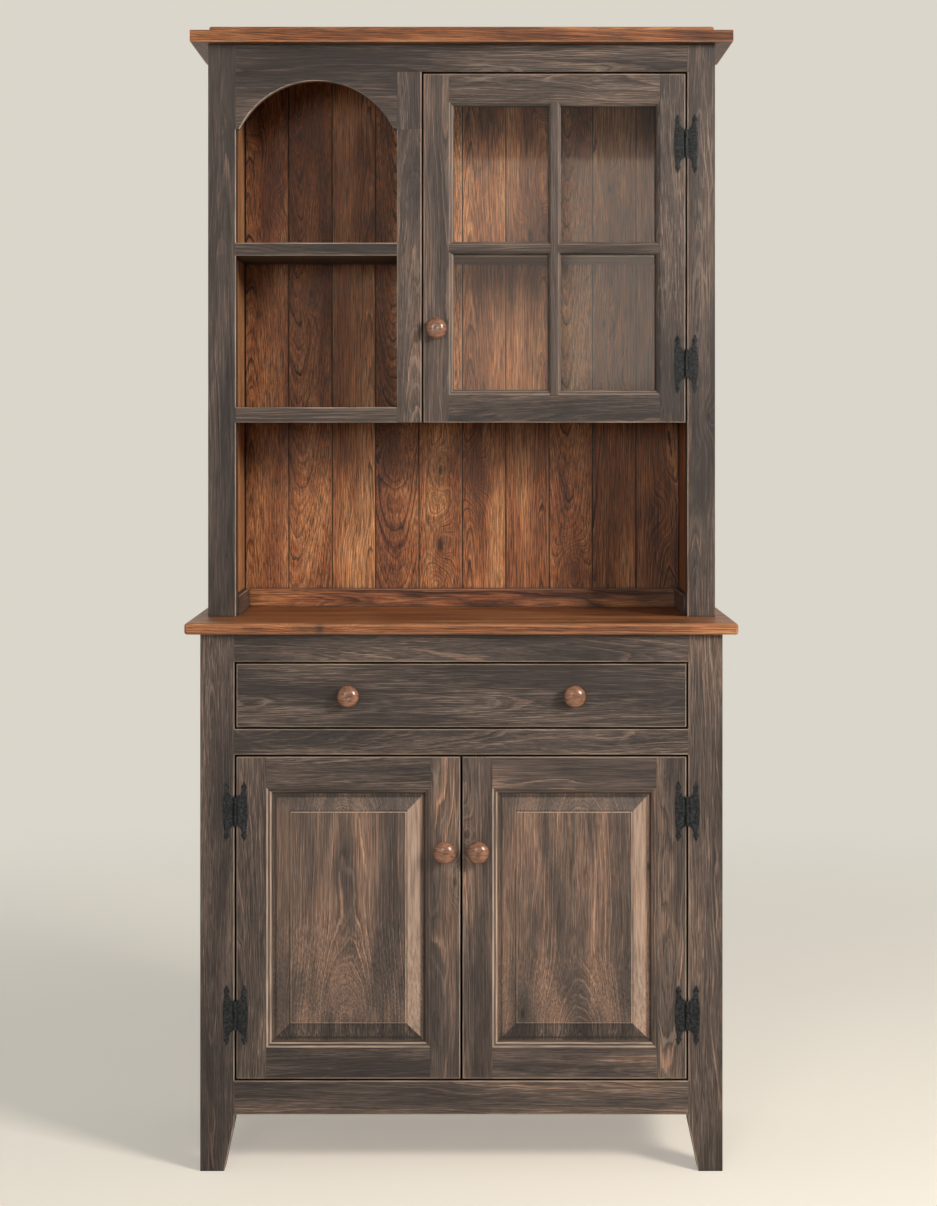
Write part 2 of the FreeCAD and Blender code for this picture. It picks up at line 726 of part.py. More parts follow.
drawer_front = board("drawer_front", (-base_jamb + s.reveal, face, drawer_front_low),
                     (base_jamb - s.reveal, drawer_front_back, drawer_head - s.reveal))
drawer_front.ease(s.arris / 2, {"y": 0, "z": 0}, {"y": 0, "z": drawer_front_height},
                  {"y": 0, "x": 0}, {"y": 0, "x": drawer_front_width})
groove_margin = drawer_front_width / 2 - drawer_inner - s.drawer_groove
drawer_front.pocket("XZ", [rectangle(groove_margin, tray_low - drawer_front_low,
                                     drawer_front_width - groove_margin, tray_high - drawer_front_low)],
                    s.drawer_front_thickness - s.drawer_groove, s.drawer_groove)

drawer_sides = Piece("drawer_sides", (0, drawer_front_back, drawer_bottom_low))
drawer_sides.pad("XZ", [rectangle(drawer_inner, 0, drawer_half, s.drawer_side_height)], 0, drawer_depth)
drawer_sides.pocket("XZ", [rectangle(drawer_inner, s.drawer_bottom_rise, drawer_inner + s.drawer_groove,
                                     s.drawer_bottom_rise + s.drawer_bottom_thickness)], 0, drawer_depth)
drawer_sides.mirror()

board("drawer_bottom", (-drawer_inner - tray_overlap, drawer_front_back - tray_overlap, tray_low),
      (drawer_inner + tray_overlap, drawer_end, tray_high))
board("drawer_back", (-drawer_inner, drawer_end - s.drawer_side_thickness, tray_high),
      (drawer_inner, drawer_end, drawer_bottom_low + s.drawer_side_height))


# ---- knobs ----

def knob(label, centre_x, face_y, centre_z, pair=False):
    """A turned mushroom knob: its neck stands on the face and its dome looks forward."""
    outline = [(0, 0), (0, s.knob_neck_radius), (-s.knob_neck_length, s.knob_neck_radius),
               (-s.knob_neck_length, s.knob_radius), (-s.knob_neck_length - s.knob_rim_width, s.knob_radius),
               (-s.knob_reach, s.knob_crown_radius), (-s.knob_reach, 0)]
    piece = Piece(label, (0 if pair else centre_x, face_y, centre_z))
    piece.turn("YZ", [outline], centre_x if pair else 0)
    if pair:
        piece.mirror()


knob("drawer_knobs", s.drawer_knob_spacing / 2, face, (drawer_sill + drawer_head) / 2, pair=True)


# ---- framed doors ----

def transposed(loop):
    """The same outline with its two axes exchanged, for a plane that shows it the other way."""
    return [(corner[1], corner[0]) + tuple(Arc(arc.radius, not arc.left) for arc in corner[2:])
            for corner in loop]


def moulding(inner, inward, width, depth):
    """What is cut from a framing edge, across and deep: a quirk at the face, then a quarter-round."""
    tip = inner + inward * width
    return [(inner, 0), (tip, 0), (tip, depth, Arc(s.ovolo_radius, left=inward > 0)), (inner, s.quirk)]


class Door:
    """A framed door: where it hangs, which way it runs from its hinges, and its framing."""

    stile = rail = sticking = sticking_depth = None

    def __init__(self, name, hinge_x, lock_x, run, face_y, bottom, top):
        self.name = name
        self.hinge_x = hinge_x
        self.lock_x = lock_x
        self.run = run
        self.face_y = face_y
        self.bottom = bottom
        self.height = top - bottom
        self.width = run * (lock_x - hinge_x)
        self.hinge_stile = self.upright("hinge_stile", hinge_x, run)
        self.lock_stile = self.upright("lock_stile", lock_x, -run)
        self.rails = self.rail_pair()

    def piece(self, suffix):
        """A new piece of this door, with its origin on the door's bottom front line."""
        return Piece(self.name + "_" + suffix, (0, self.face_y, self.bottom))

    def back_cut(self, inner, inward):
        """The groove or rebate behind the moulding, across and deep."""
        raise NotImplementedError

    def tenon_loops(self, shoulder_x, end_x):
        """Outlines of the two tenons, or of the mortises, between two places across the door."""
        return [rectangle(shoulder_x, low + s.tenon_shoulder, end_x, low + self.rail - s.tenon_shoulder)
                for low in (Size(0), self.height - self.rail)]

    def upright(self, suffix, edge_x, inward):
        """A stile: its moulded edge ends in mitres, so that it meets the rails' mouldings."""
        inner = edge_x + inward * self.stile
        tip = inner + inward * self.sticking
        low = self.rail
        high = self.height - self.rail
        piece = self.piece(suffix)
        piece.pad("XZ", [[
            (edge_x, 0), (inner, 0), (inner, low), (tip, low + self.sticking), (tip, high - self.sticking),
            (inner, high), (inner, self.height), (edge_x, self.height)]], 0, s.door_thickness)
        piece.ease(s.arris / 2, {"x": edge_x, "y": 0})
        piece.pocket("XY", [moulding(inner, inward, self.sticking, self.sticking_depth)], 0, self.height)
        piece.pocket("XY", [self.back_cut(inner, inward)], 0, self.height)
        depth = s.tenon_length + s.mortise_relief
        return piece.pocket("XZ", self.tenon_loops(inner, inner - inward * depth),
                            self.tenon_setback(), s.tenon_thickness)

    @staticmethod
    def tenon_setback():
        """Tenons stand midway in the door's thickness."""
        return (s.door_thickness - s.tenon_thickness) / 2

    def rail_pair(self):
        """Top and bottom rails, mitred at the moulding and tenoned into the stiles."""
        run, rail, stick = self.run, self.rail, self.sticking
        near = self.hinge_x + run * self.stile
        far = self.lock_x - run * self.stile
        edges = ((Size(0), 1), (self.height, -1))
        piece = self.piece("rails")
        piece.pad("XZ", [[
            (near, edge), (far, edge), (far, edge + up * rail),
            (far - run * stick, edge + up * (rail + stick)),
            (near + run * stick, edge + up * (rail + stick)), (near, edge + up * rail)]
            for edge, up in edges], 0, s.door_thickness)
        piece.ease(s.arris / 2, {"z": 0, "y": 0}, {"z": self.height, "y": 0})
        low_x = near if run > 0 else far
        length = self.width - self.stile * 2
        piece.pocket("YZ", [transposed(moulding(edge + up * rail, up, stick, self.sticking_depth))
                            for edge, up in edges], low_x, length)
        piece.pocket("YZ", [transposed(self.back_cut(edge + up * rail, up)) for edge, up in edges],
                     low_x, length)
        reach = run * s.tenon_length
        return piece.pad("XZ", self.tenon_loops(near, near - reach) + self.tenon_loops(far, far + reach),
                         self.tenon_setback(), s.tenon_thickness)

    def opening(self, inset):
        """The framed opening, measured at the moulding's inner edge and then set in by `inset`."""
        margin = self.stile + self.sticking + inset
        rise = self.rail + self.sticking + inset
        return rectangle(self.hinge_x + self.run * margin, rise,
                         self.lock_x - self.run * margin, self.height - rise)


class PanelDoor(Door):
    """A base door: a raised panel floats in the frame's groove."""

    stile = s.door_stile
    rail = s.door_rail
    sticking = s.door_sticking
    sticking_depth = s.groove_setback

    def back_cut(self, inner, inward):
        """The groove for the panel's tongue."""
        tip = inner + inward * self.sticking
        return rectangle(tip - inward * s.groove_depth, s.groove_setback,
                         tip, s.groove_setback + s.groove_width)

    def panel(self):
        """A tongue all round, a flat margin, a wide bevel and a stepped-up field."""
        piece = self.piece("panel")
        piece.pad("XZ", [self.opening(s.panel_play - s.groove_depth)], s.groove_setback, s.groove_width)
        crest = s.groove_setback - s.panel_bevel_rise
        field = self.opening(s.panel_flat + s.panel_bevel)
        piece.loft("XZ", self.opening(s.panel_flat), s.groove_setback, field, crest)
        piece.pad("XZ", [field], crest - s.field_step, s.field_step)


class GlassDoor(Door):
    """The hutch door: four lights between a frame and crossing glazing bars."""

    stile = s.glass_door_stile
    rail = s.glass_door_rail
    sticking = s.glass_sticking
    sticking_depth = s.rebate_setback

    def back_cut(self, inner, inward):
        """The rebate that the glass lies in, open to the back."""
        return rectangle(inner, s.rebate_setback, inner + inward * self.sticking, s.door_thickness)

    def bar(self, label, middle, low, high, upright):
        """A glazing bar: a moulded front strip with a narrow rib behind it, between the panes."""
        turn = (lambda loop: loop) if upright else transposed
        plane = "XY" if upright else "YZ"
        side = s.muntin_width / 2
        flat = side - s.muntin_sticking
        rib = s.muntin_rib / 2
        piece = Piece(label, (0, self.face_y, self.bottom), kept=False)
        section = [(middle - side, 0), (middle + side, 0), (middle + side, s.rebate_setback),
                   (middle + rib, s.rebate_setback), (middle + rib, s.door_thickness),
                   (middle - rib, s.door_thickness), (middle - rib, s.rebate_setback),
                   (middle - side, s.rebate_setback)]
        piece.pad(plane, [turn(section)], low, high - low)
        piece.pocket(plane, [turn(moulding(middle + flat, 1, s.muntin_sticking, s.rebate_setback)),
                             turn(moulding(middle - flat, -1, s.muntin_sticking, s.rebate_setback))],
                     low, high - low)
        return piece.body

    def middle(self):
        """Centre of the door across and up, in the door's own coordinates."""
        return (self.hinge_x + self.lock_x) / 2, self.height / 2

    def muntins(self):
        """Two bars that cross; their ends are coped over the frame's moulding, and one over the other."""
        across, up = self.middle()
        left = self.lock_x + self.stile
        right = self.hinge_x - self.stile
        upright = self.bar("UprightBar", across, self.rail, self.height - self.rail, True)
        crossbar = self.bar("CrossBar", up, left, right, False)
        frame = DOC.addObject("Part::Compound", "GlassDoorFrame")
        frame.Links = [self.hinge_stile.body, self.lock_stile.body, self.rails.body]
        frame_and_upright = DOC.addObject("Part::Compound", "FrameAndUpright")
        frame_and_upright.Links = [frame, upright]
        together(self.name + "_muntins", [cope(upright, frame), cope(crossbar, frame_and_upright)])

    def light_outlines(self, inset):
        """The four lights between rebate and ribs, set in by `inset`."""
        across, up = self.middle()
        gap = s.muntin_rib / 2 + inset
        left = self.lock_x + self.stile + inset
        right = self.hinge_x - self.stile - inset
        low = self.rail + inset
        high = self.height - self.rail - inset
        return [rectangle(left, low, across - gap, up - gap), rectangle(across + gap, low, right, up - gap),
                rectangle(left, up + gap, across - gap, high), rectangle(across + gap, up + gap, right, high)]

    def glazing(self):
        """Four panes, and the beads that hold each one against the back of its moulding."""
        self.piece("panes").pad("XZ", self.light_outlines(s.glass_play), s.rebate_setback, s.glass_thickness)
        self.piece("glazing_beads").pad(
            "XZ", self.light_outlines(s.glass_play) + self.light_outlines(s.glass_play + s.bead_width),
            s.rebate_setback + s.glass_thickness, s.bead_depth)


base_door_low = door_sill + s.reveal
base_door_high = door_head - s.reveal
base_door_outer = base_jamb - s.reveal
base_door_inner = s.meeting_gap / 2
base_knob_height = base_door_high - s.base_knob_drop
for door_name, door_side in (("left_door", -1), ("right_door", 1)):
    PanelDoor(door_name, door_side * base_door_outer, door_side * base_door_inner, -door_side,
              face, base_door_low, base_door_high).panel()
    knob(door_name + "_knob", door_side * (base_door_inner + s.base_knob_inset), face, base_knob_height)

glass_hinge_x = hutch_jamb - s.reveal
glass_lock_x = mid_stile_right + s.reveal
glass_door_high = hutch_head - s.reveal
glass_door = GlassDoor("glass_door", glass_hinge_x, glass_lock_x, -1,
                       hutch_face, shelf_bottom, glass_door_high)
glass_door.muntins()
glass_door.glazing()
knob("glass_door_knob", glass_lock_x + s.glass_door_stile / 2, hutch_face, shelf_bottom + s.glass_knob_rise)


# ---- surface hinges ----

class Hinge:
    """A wrought surface hinge: its pin stands before the gap between a post and a door.

    Its pieces are drawn about the pin's foot on the wood, at the middle of the hinge.
    """

    def __init__(self, pin_x, face_y, middle_z, post_side):
        self.at = (pin_x, face_y, middle_z)
        self.post_side = post_side

    @staticmethod
    def knuckle(index):
        """Lowest and highest place of one knuckle, with half a gap left at each end."""
        low = s.knuckle_length * (index - KNUCKLES / 2)
        return low + s.knuckle_gap / 2, low + s.knuckle_length - s.knuckle_gap / 2

    @staticmethod
    def leaf_outline(side, knuckles):
        """Spear to spear: barbs and necks at both ends, a bowed outer edge, and teeth at the pin."""
        swell = s.leaf_reach - s.neck_outer
        bow = (s.neck_height * s.neck_height + swell * swell) / (2 * swell)
        clear = s.barrel_radius + s.barrel_clearance
        root = s.pin_radius + s.pin_fit
        barrel_end = s.knuckle_length * (KNUCKLES / 2)
        corners = [
            (s.leaf_tip_reach, s.leaf_tip_height), (s.barb_outer, s.barb_height),
            (s.neck_outer, s.neck_height, Arc(bow, left=side > 0)), (s.neck_outer, -s.neck_height),
            (s.barb_outer, -s.barb_height), (s.leaf_tip_reach, -s.leaf_tip_height),
            (s.barb_inner, -s.barb_height), (s.neck_inner, -s.neck_height),
            (s.flare_reach, -s.flare_height), (clear, -barrel_end)]
        for low, high in (Hinge.knuckle(index) for index in knuckles):
            corners += [(clear, low), (root, low), (root, high), (clear, high)]
        corners += [(clear, barrel_end), (s.flare_reach, s.flare_height),
                    (s.neck_inner, s.neck_height), (s.barb_inner, s.barb_height)]
        return [(side * corner[0],) + corner[1:] for corner in corners]

    def leaf(self, to_post):
        """The leaf on the post or on the door, with the knuckles that turn round the pin."""
        knuckles = FRAME_KNUCKLES if to_post else DOOR_KNUCKLES
        side = self.post_side if to_post else -self.post_side
        piece = Piece("leaf", self.at, kept=False)
        piece.pad("XZ", [self.leaf_outline(side, knuckles)], -s.leaf_thickness, s.leaf_thickness)
        rings = [rectangle(s.pin_radius + s.pin_fit, low, s.barrel_radius, high)
                 for low, high in (self.knuckle(index) for index in knuckles)]
        return piece.turn("XZ", rings, -s.barrel_radius - s.barrel_clearance, "V_Axis").body

    def pin(self):
        """The pin, as long as the barrel."""
        low = self.knuckle(0)[0]
        high = self.knuckle(KNUCKLES - 1)[1]
        outline = (0, -s.barrel_radius - s.barrel_clearance, s.pin_radius)
        return Piece("pin", self.at, kept=False).pad("XY", [[outline]], low, high - low).body


base_pin = base_jamb - s.reveal / 2
base_hinge_heights = (base_door_low + s.base_hinge_bottom_inset, base_door_high - s.base_hinge_top_inset)
glass_hinge_heights = (shelf_bottom + s.glass_hinge_bottom_inset, glass_door_high - s.glass_hinge_top_inset)
hinges_by_door = {
    "left_door": [Hinge(-base_pin, face, height, -1) for height in base_hinge_heights],
    "right_door": [Hinge(base_pin, face, height, 1) for height in base_hinge_heights],
    "glass_door": [Hinge(hutch_jamb - s.reveal / 2, hutch_face, height, 1) for height in glass_hinge_heights],
}
for door_name, hinges in hinges_by_door.items():
    together(door_name + "_hinge_leaves", [hinge.leaf(to_post=False) for hinge in hinges])
all_hinges = [hinge for hinges in hinges_by_door.values() for hinge in hinges]
together("frame_hinge_leaves", [hinge.leaf(to_post=True) for hinge in all_hinges])
together("hinge_pins", [hinge.pin() for hinge in all_hinges])


# ---- checks and files ----

def check_and_write():
    """Stop at any failed feature, any cut that removed nothing or any bad shape; then write the pieces."""
    DOC.recompute()
    for item in DOC.Objects:
        if "Invalid" in item.State or "Error" in item.State:
            raise RuntimeError("%s failed to build: %s" % (item.Label, item.State))
        if item.TypeId == "PartDesign::Pocket" and item.Shape.Volume >= item.BaseFeature.Shape.Volume:
            raise RuntimeError("%s cuts nothing" % item.Label)
    os.makedirs("parts", exist_ok=True)
    for piece in PIECES:
        if piece.Shape.isNull() or not piece.Shape.isValid():
            raise RuntimeError("%s has no valid shape" % piece.Label)
        piece.Shape.exportStep("parts/%s.step" % piece.Label)
        print("%-28s %2d solids %9.1f cm3" %
              (piece.Label, len(piece.Shape.Solids), piece.Shape.Volume / 1000))
    print(len(PIECES), "pieces written")


check_and_write()
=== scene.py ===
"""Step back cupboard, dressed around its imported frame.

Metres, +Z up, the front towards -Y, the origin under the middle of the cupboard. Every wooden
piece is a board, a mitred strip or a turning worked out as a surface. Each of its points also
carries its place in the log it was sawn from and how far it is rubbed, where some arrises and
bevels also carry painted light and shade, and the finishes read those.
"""

import json
import logging
import math
import zlib
from dataclasses import dataclass, field
from enum import Enum
from typing import Sequence

import bpy
import numpy as np
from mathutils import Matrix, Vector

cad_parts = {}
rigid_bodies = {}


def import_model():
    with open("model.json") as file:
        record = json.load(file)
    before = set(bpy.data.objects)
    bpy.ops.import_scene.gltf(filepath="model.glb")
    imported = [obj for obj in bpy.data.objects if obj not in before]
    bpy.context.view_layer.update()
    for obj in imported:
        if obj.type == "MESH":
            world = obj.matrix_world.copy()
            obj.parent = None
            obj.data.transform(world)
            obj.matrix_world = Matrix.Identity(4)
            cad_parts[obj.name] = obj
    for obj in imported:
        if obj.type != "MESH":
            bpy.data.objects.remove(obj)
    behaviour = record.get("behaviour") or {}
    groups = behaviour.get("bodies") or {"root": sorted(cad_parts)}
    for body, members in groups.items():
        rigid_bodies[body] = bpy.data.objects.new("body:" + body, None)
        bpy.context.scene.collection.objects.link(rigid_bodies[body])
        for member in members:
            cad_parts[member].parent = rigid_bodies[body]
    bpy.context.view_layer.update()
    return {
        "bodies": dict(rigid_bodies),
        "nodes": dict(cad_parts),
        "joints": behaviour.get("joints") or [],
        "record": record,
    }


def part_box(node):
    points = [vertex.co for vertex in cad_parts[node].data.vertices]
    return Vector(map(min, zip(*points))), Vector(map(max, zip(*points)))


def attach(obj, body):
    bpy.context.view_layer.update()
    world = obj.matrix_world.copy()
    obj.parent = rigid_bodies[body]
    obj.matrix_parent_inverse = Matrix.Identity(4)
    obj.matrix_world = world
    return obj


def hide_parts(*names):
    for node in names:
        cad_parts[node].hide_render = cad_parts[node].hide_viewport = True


LOG = logging.getLogger("cupboard")

Corner = tuple[float, float, float]
Stretch = tuple[float, float]
Socket = bpy.types.NodeSocket

FADE = 0.0009           # how far the rub of an arris runs on to the faces beside it
HAIRLINE = 0.00025      # ease of an arris that is closed by a joint
BREAK = 0.0006          # length over which an eased arris stops at a joint
STAND_OFF = 0.0003      # gap that keeps two faces from lying in one plane


class Axis(Enum):
    """A direction of the cupboard's frame."""

    X = 0
    Y = 1
    Z = 2


class Side(Enum):
    """A face of a board: its axis, and which way it looks."""

    LEFT = (0, -1)
    RIGHT = (0, 1)
    FRONT = (1, -1)
    BACK = (1, 1)
    BOTTOM = (2, -1)
    TOP = (2, 1)


Arris = tuple[Side, Side]
FRONT_TOP: Arris = (Side.FRONT, Side.TOP)
FRONT_BOTTOM: Arris = (Side.FRONT, Side.BOTTOM)
FRONT_LEFT: Arris = (Side.FRONT, Side.LEFT)
FRONT_RIGHT: Arris = (Side.FRONT, Side.RIGHT)
BACK_LEFT: Arris = (Side.BACK, Side.LEFT)
BACK_RIGHT: Arris = (Side.BACK, Side.RIGHT)


# ---------------------------------------------------------------- surfaces

@dataclass
class Skin:
    """Closed shells of one piece: points, quads, flat caps, rub with painted light and shade, and what the
    log gives them.
    """

    points: np.ndarray
    quads: np.ndarray
    caps: list[np.ndarray]
    wear_and_light: np.ndarray
    grain: np.ndarray | None = None     # (n, 3) place in the log
    eye: np.ndarray | None = None       # (n, 3) place and strength of the board's main knot
    tone: np.ndarray | None = None      # (n,) how light the board is
    bow: np.ndarray | None = None       # (n,) how fast the pith comes near below the eye

    def outward(self) -> "Skin":
        """The same shell with its faces turned outwards, judged by the sign of its volume."""
        quad = self.points[self.quads]
        volume = np.einsum("ij,ij->i", np.cross(quad[:, 0], quad[:, 1]), quad[:, 2]).sum()
        volume += np.einsum("ij,ij->i", np.cross(quad[:, 0], quad[:, 2]), quad[:, 3]).sum()
        for cap in self.caps:
            ring = self.points[cap]
            volume += (np.cross(ring[1:-1], ring[2:]) @ ring[0]).sum()
        if volume < 0:
            self.quads = self.quads[:, ::-1]
            self.caps = [cap[::-1] for cap in self.caps]
        return self


def gathered(skins: Sequence[Skin]) -> Skin:
    """Several shells as the skin of one piece.

    Args:
        skins: The shells, each with its grain already placed.

    Returns:
        One skin that holds them all.
    """
    starts = np.cumsum([0] + [len(skin.points) for skin in skins])
    caps = [cap + start for skin, start in zip(skins, starts) for cap in skin.caps]
    return Skin(np.concatenate([skin.points for skin in skins]),
                np.concatenate([skin.quads + start for skin, start in zip(skins, starts)]),
                caps,
                *(np.concatenate([getattr(skin, part) for skin in skins])
                  for part in ("wear_and_light", "grain", "eye", "tone", "bow")))


def tube(rings: np.ndarray, wear_and_light: np.ndarray) -> Skin:
    """A shell over closed rings of points, with a flat cap on its first and last ring.

    Args:
        rings: Points as an array of (ring, round, 3).
        wear_and_light: Wear as an array of (ring, round).

    Returns:
        The closed shell, facing outwards.
    """
    count, around = rings.shape[:2]
    index = np.arange(count * around).reshape(count, around)
    onward = np.roll(index, -1, axis=1)
    quads = np.stack([index[:-1], onward[:-1], onward[1:], index[1:]], axis=-1).reshape(-1, 4)
    skin = Skin(rings.reshape(-1, 3), quads, [index[0][::-1], index[-1]], wear_and_light.reshape(-1))
    return skin.outward()


@dataclass(frozen=True)
class Log:
    """Where a board lay in its log: the rings are cylinders about a pith that leans a little.

    A point's place is (up the log, and its two distances from the pith), so that the rings it
    lies between follow from the length of the last two. The eye is the board's main knot, given
    from the board's middle along and across the grain, with its strength. Below the eye the pith
    comes nearer by bow * d^2 at a distance d, which opens arches there.
    """

    axes: tuple[int, int, int]
    centre: tuple[float, float, float]
    aside: float
    behind: float
    lean: float
    shift: float
    tone: float
    eye: tuple[float, float, float] = (0.0, 0.0, 0.0)
    bow: float = 0.0

    @classmethod
    def sawn(cls, label: str, low: Corner, high: Corner, along: Axis, **chosen: object) -> "Log":
        """Draw a board's place in its log from its label.

        Args:
            label: Seeds the draw, so that a board looks the same in each run.
            low: The board's lowest corner.
            high: The board's highest corner.
            along: The direction of its grain.
            **chosen: Any field from aside on, where a board has a figure of its own.

        Returns:
            The board's place in its log.
        """
        draw = np.random.default_rng(zlib.crc32(label.encode()))
        size = np.subtract(high, low)
        across = [axis for axis in range(3) if axis != along.value]
        wide, thin = sorted(across, key=lambda axis: -size[axis])
        facts = {"aside": float(draw.uniform(-0.7, 0.7) * size[wide]),
                 "behind": float(draw.uniform(0.020, 0.075)),
                 "lean": float(draw.uniform(0.010, 0.045) * draw.choice([-1, 1])),
                 "shift": float(draw.uniform(1.0, 40.0)),
                 "tone": float(draw.uniform(0.02, 0.30))}
        facts.update(FIGURES.get(label, {}))
        facts.update(chosen)
        centre = tuple(float(value) for value in (np.add(low, high) / 2))
        return cls((along.value, wide, thin), centre, **facts)

    def mark(self, skin: Skin) -> Skin:
        """Give a shell on the board its places in the log, the board's eye and its tone."""
        local = (skin.points - np.array(self.centre))[:, self.axes]
        skin.grain = np.column_stack([local[:, 0] + self.shift, local[:, 1] + self.aside,
                                      local[:, 2] + self.behind + self.lean * local[:, 0]])
        eye = (self.eye[0] + self.shift, self.eye[1] + self.aside, self.eye[2])
        skin.eye = np.tile(eye, (len(skin.points), 1))
        skin.tone = np.full(len(skin.points), self.tone)
        skin.bow = np.full(len(skin.points), self.bow)
        return skin


# Boards with a figure of their own, by label.
FIGURES: dict[str, dict[str, object]] = {
    "countertop": {"aside": 0.14, "behind": 0.09, "lean": 0.012, "tone": 0.21},
    "crown_front": {"tone": 0.04},
    "drawer_front": {"aside": 0.01, "behind": 0.052, "lean": 0.02, "tone": -0.07},
    "base_top_rail": {"tone": 0.14},
    "base_mid_rail": {"tone": 0.05},
    "left_door top rail": {"tone": 0.04},
    "left_door bottom rail": {"tone": 0.02},
    "left_door_hinge_stile": {"aside": 0.028, "behind": 0.05, "tone": 0.06},
    "hutch_post_front_left": {"tone": 0.12},
    "hutch_post_front_right": {"tone": 0.08},
    "hutch_top_rail": {"tone": -0.02},
    "hutch_back_rail": {"aside": 0.012, "behind": 0.11, "lean": 0.008, "tone": 0.08},
    "hutch_bottom_shelf": {"tone": 0.0},
    "hutch_shelf_left": {"tone": -0.04},
    "hutch back board 0": {"aside": 0.03, "behind": 0.04, "lean": 0.05},
    "hutch back board 1": {"aside": 0.02, "behind": 0.05, "lean": -0.07},
    "hutch back board 2": {"aside": -0.03, "behind": 0.04, "lean": 0.02},
    "hutch back board 3": {"aside": 0.002, "behind": 0.05, "lean": -0.08},
    "hutch back board 4": {"aside": 0.004, "behind": 0.045, "lean": 0.06},
    "hutch back board 5": {"aside": 0.024, "behind": 0.035, "lean": 0.03},
    "hutch back board 6": {"aside": -0.028, "behind": 0.03, "lean": 0.02},
    "hutch back board 7": {"aside": 0.006, "behind": 0.045, "lean": -0.06},
    # The left side panel is lightened as painted light, where its inside faces the light.
    "hutch side panel -1": {"tone": 0.50},
    "hutch side panel 1": {"tone": 0.35},
    "left_door_panel": {"aside": 0.004, "behind": 0.052, "lean": 0.015, "tone": 0.36,
                        "eye": (0.02, 0.0, 0.0), "bow": 0.85},
    "right_door_panel": {"aside": -0.012, "behind": 0.062, "lean": 0.03, "tone": 0.38,
                         "eye": (-0.04, 0.0, 0.0), "bow": 1.1}}
PLAIN_LOG = Log((0, 1, 2), (0.0, 0.0, 0.0), 0.0, 0.0, 0.0, 0.0, 0.0)


def station_row(start: float, end: float, ease: float, breaks: Sequence[float]) -> np.ndarray:
    """Where the rings of a board stand along it.

    Each end is a quarter circle of radius `ease`: a ring at angle a stands ease*(1 - cos a) in
    from the end and is drawn in by ease*(1 - sin a).

    Args:
        start: The board's lower end.
        end: Its upper end.
        ease: Radius of the end's arris.
        breaks: Further places between the ends.

    Returns:
        Rows of (place, inset, 1 on the end's arris and else 0).
    """
    angle = np.radians([0.0, 30.0, 60.0, 90.0])
    head = np.column_stack([ease * (1 - np.cos(angle)), ease * (1 - np.sin(angle)), np.ones(4)])
    head = np.vstack([[0.0, ease + FADE, 0.0], head, [ease + FADE, 0.0, 0.0]])
    tail = head[::-1] * [-1, 1, 1] + [end, 0, 0]
    inner = np.array([[place, 0.0, 0.0] for place in sorted(breaks)
                      if start + ease + FADE < place < end - ease - FADE]).reshape(-1, 3)
    return np.vstack([head + [start, 0, 0], inner, tail])


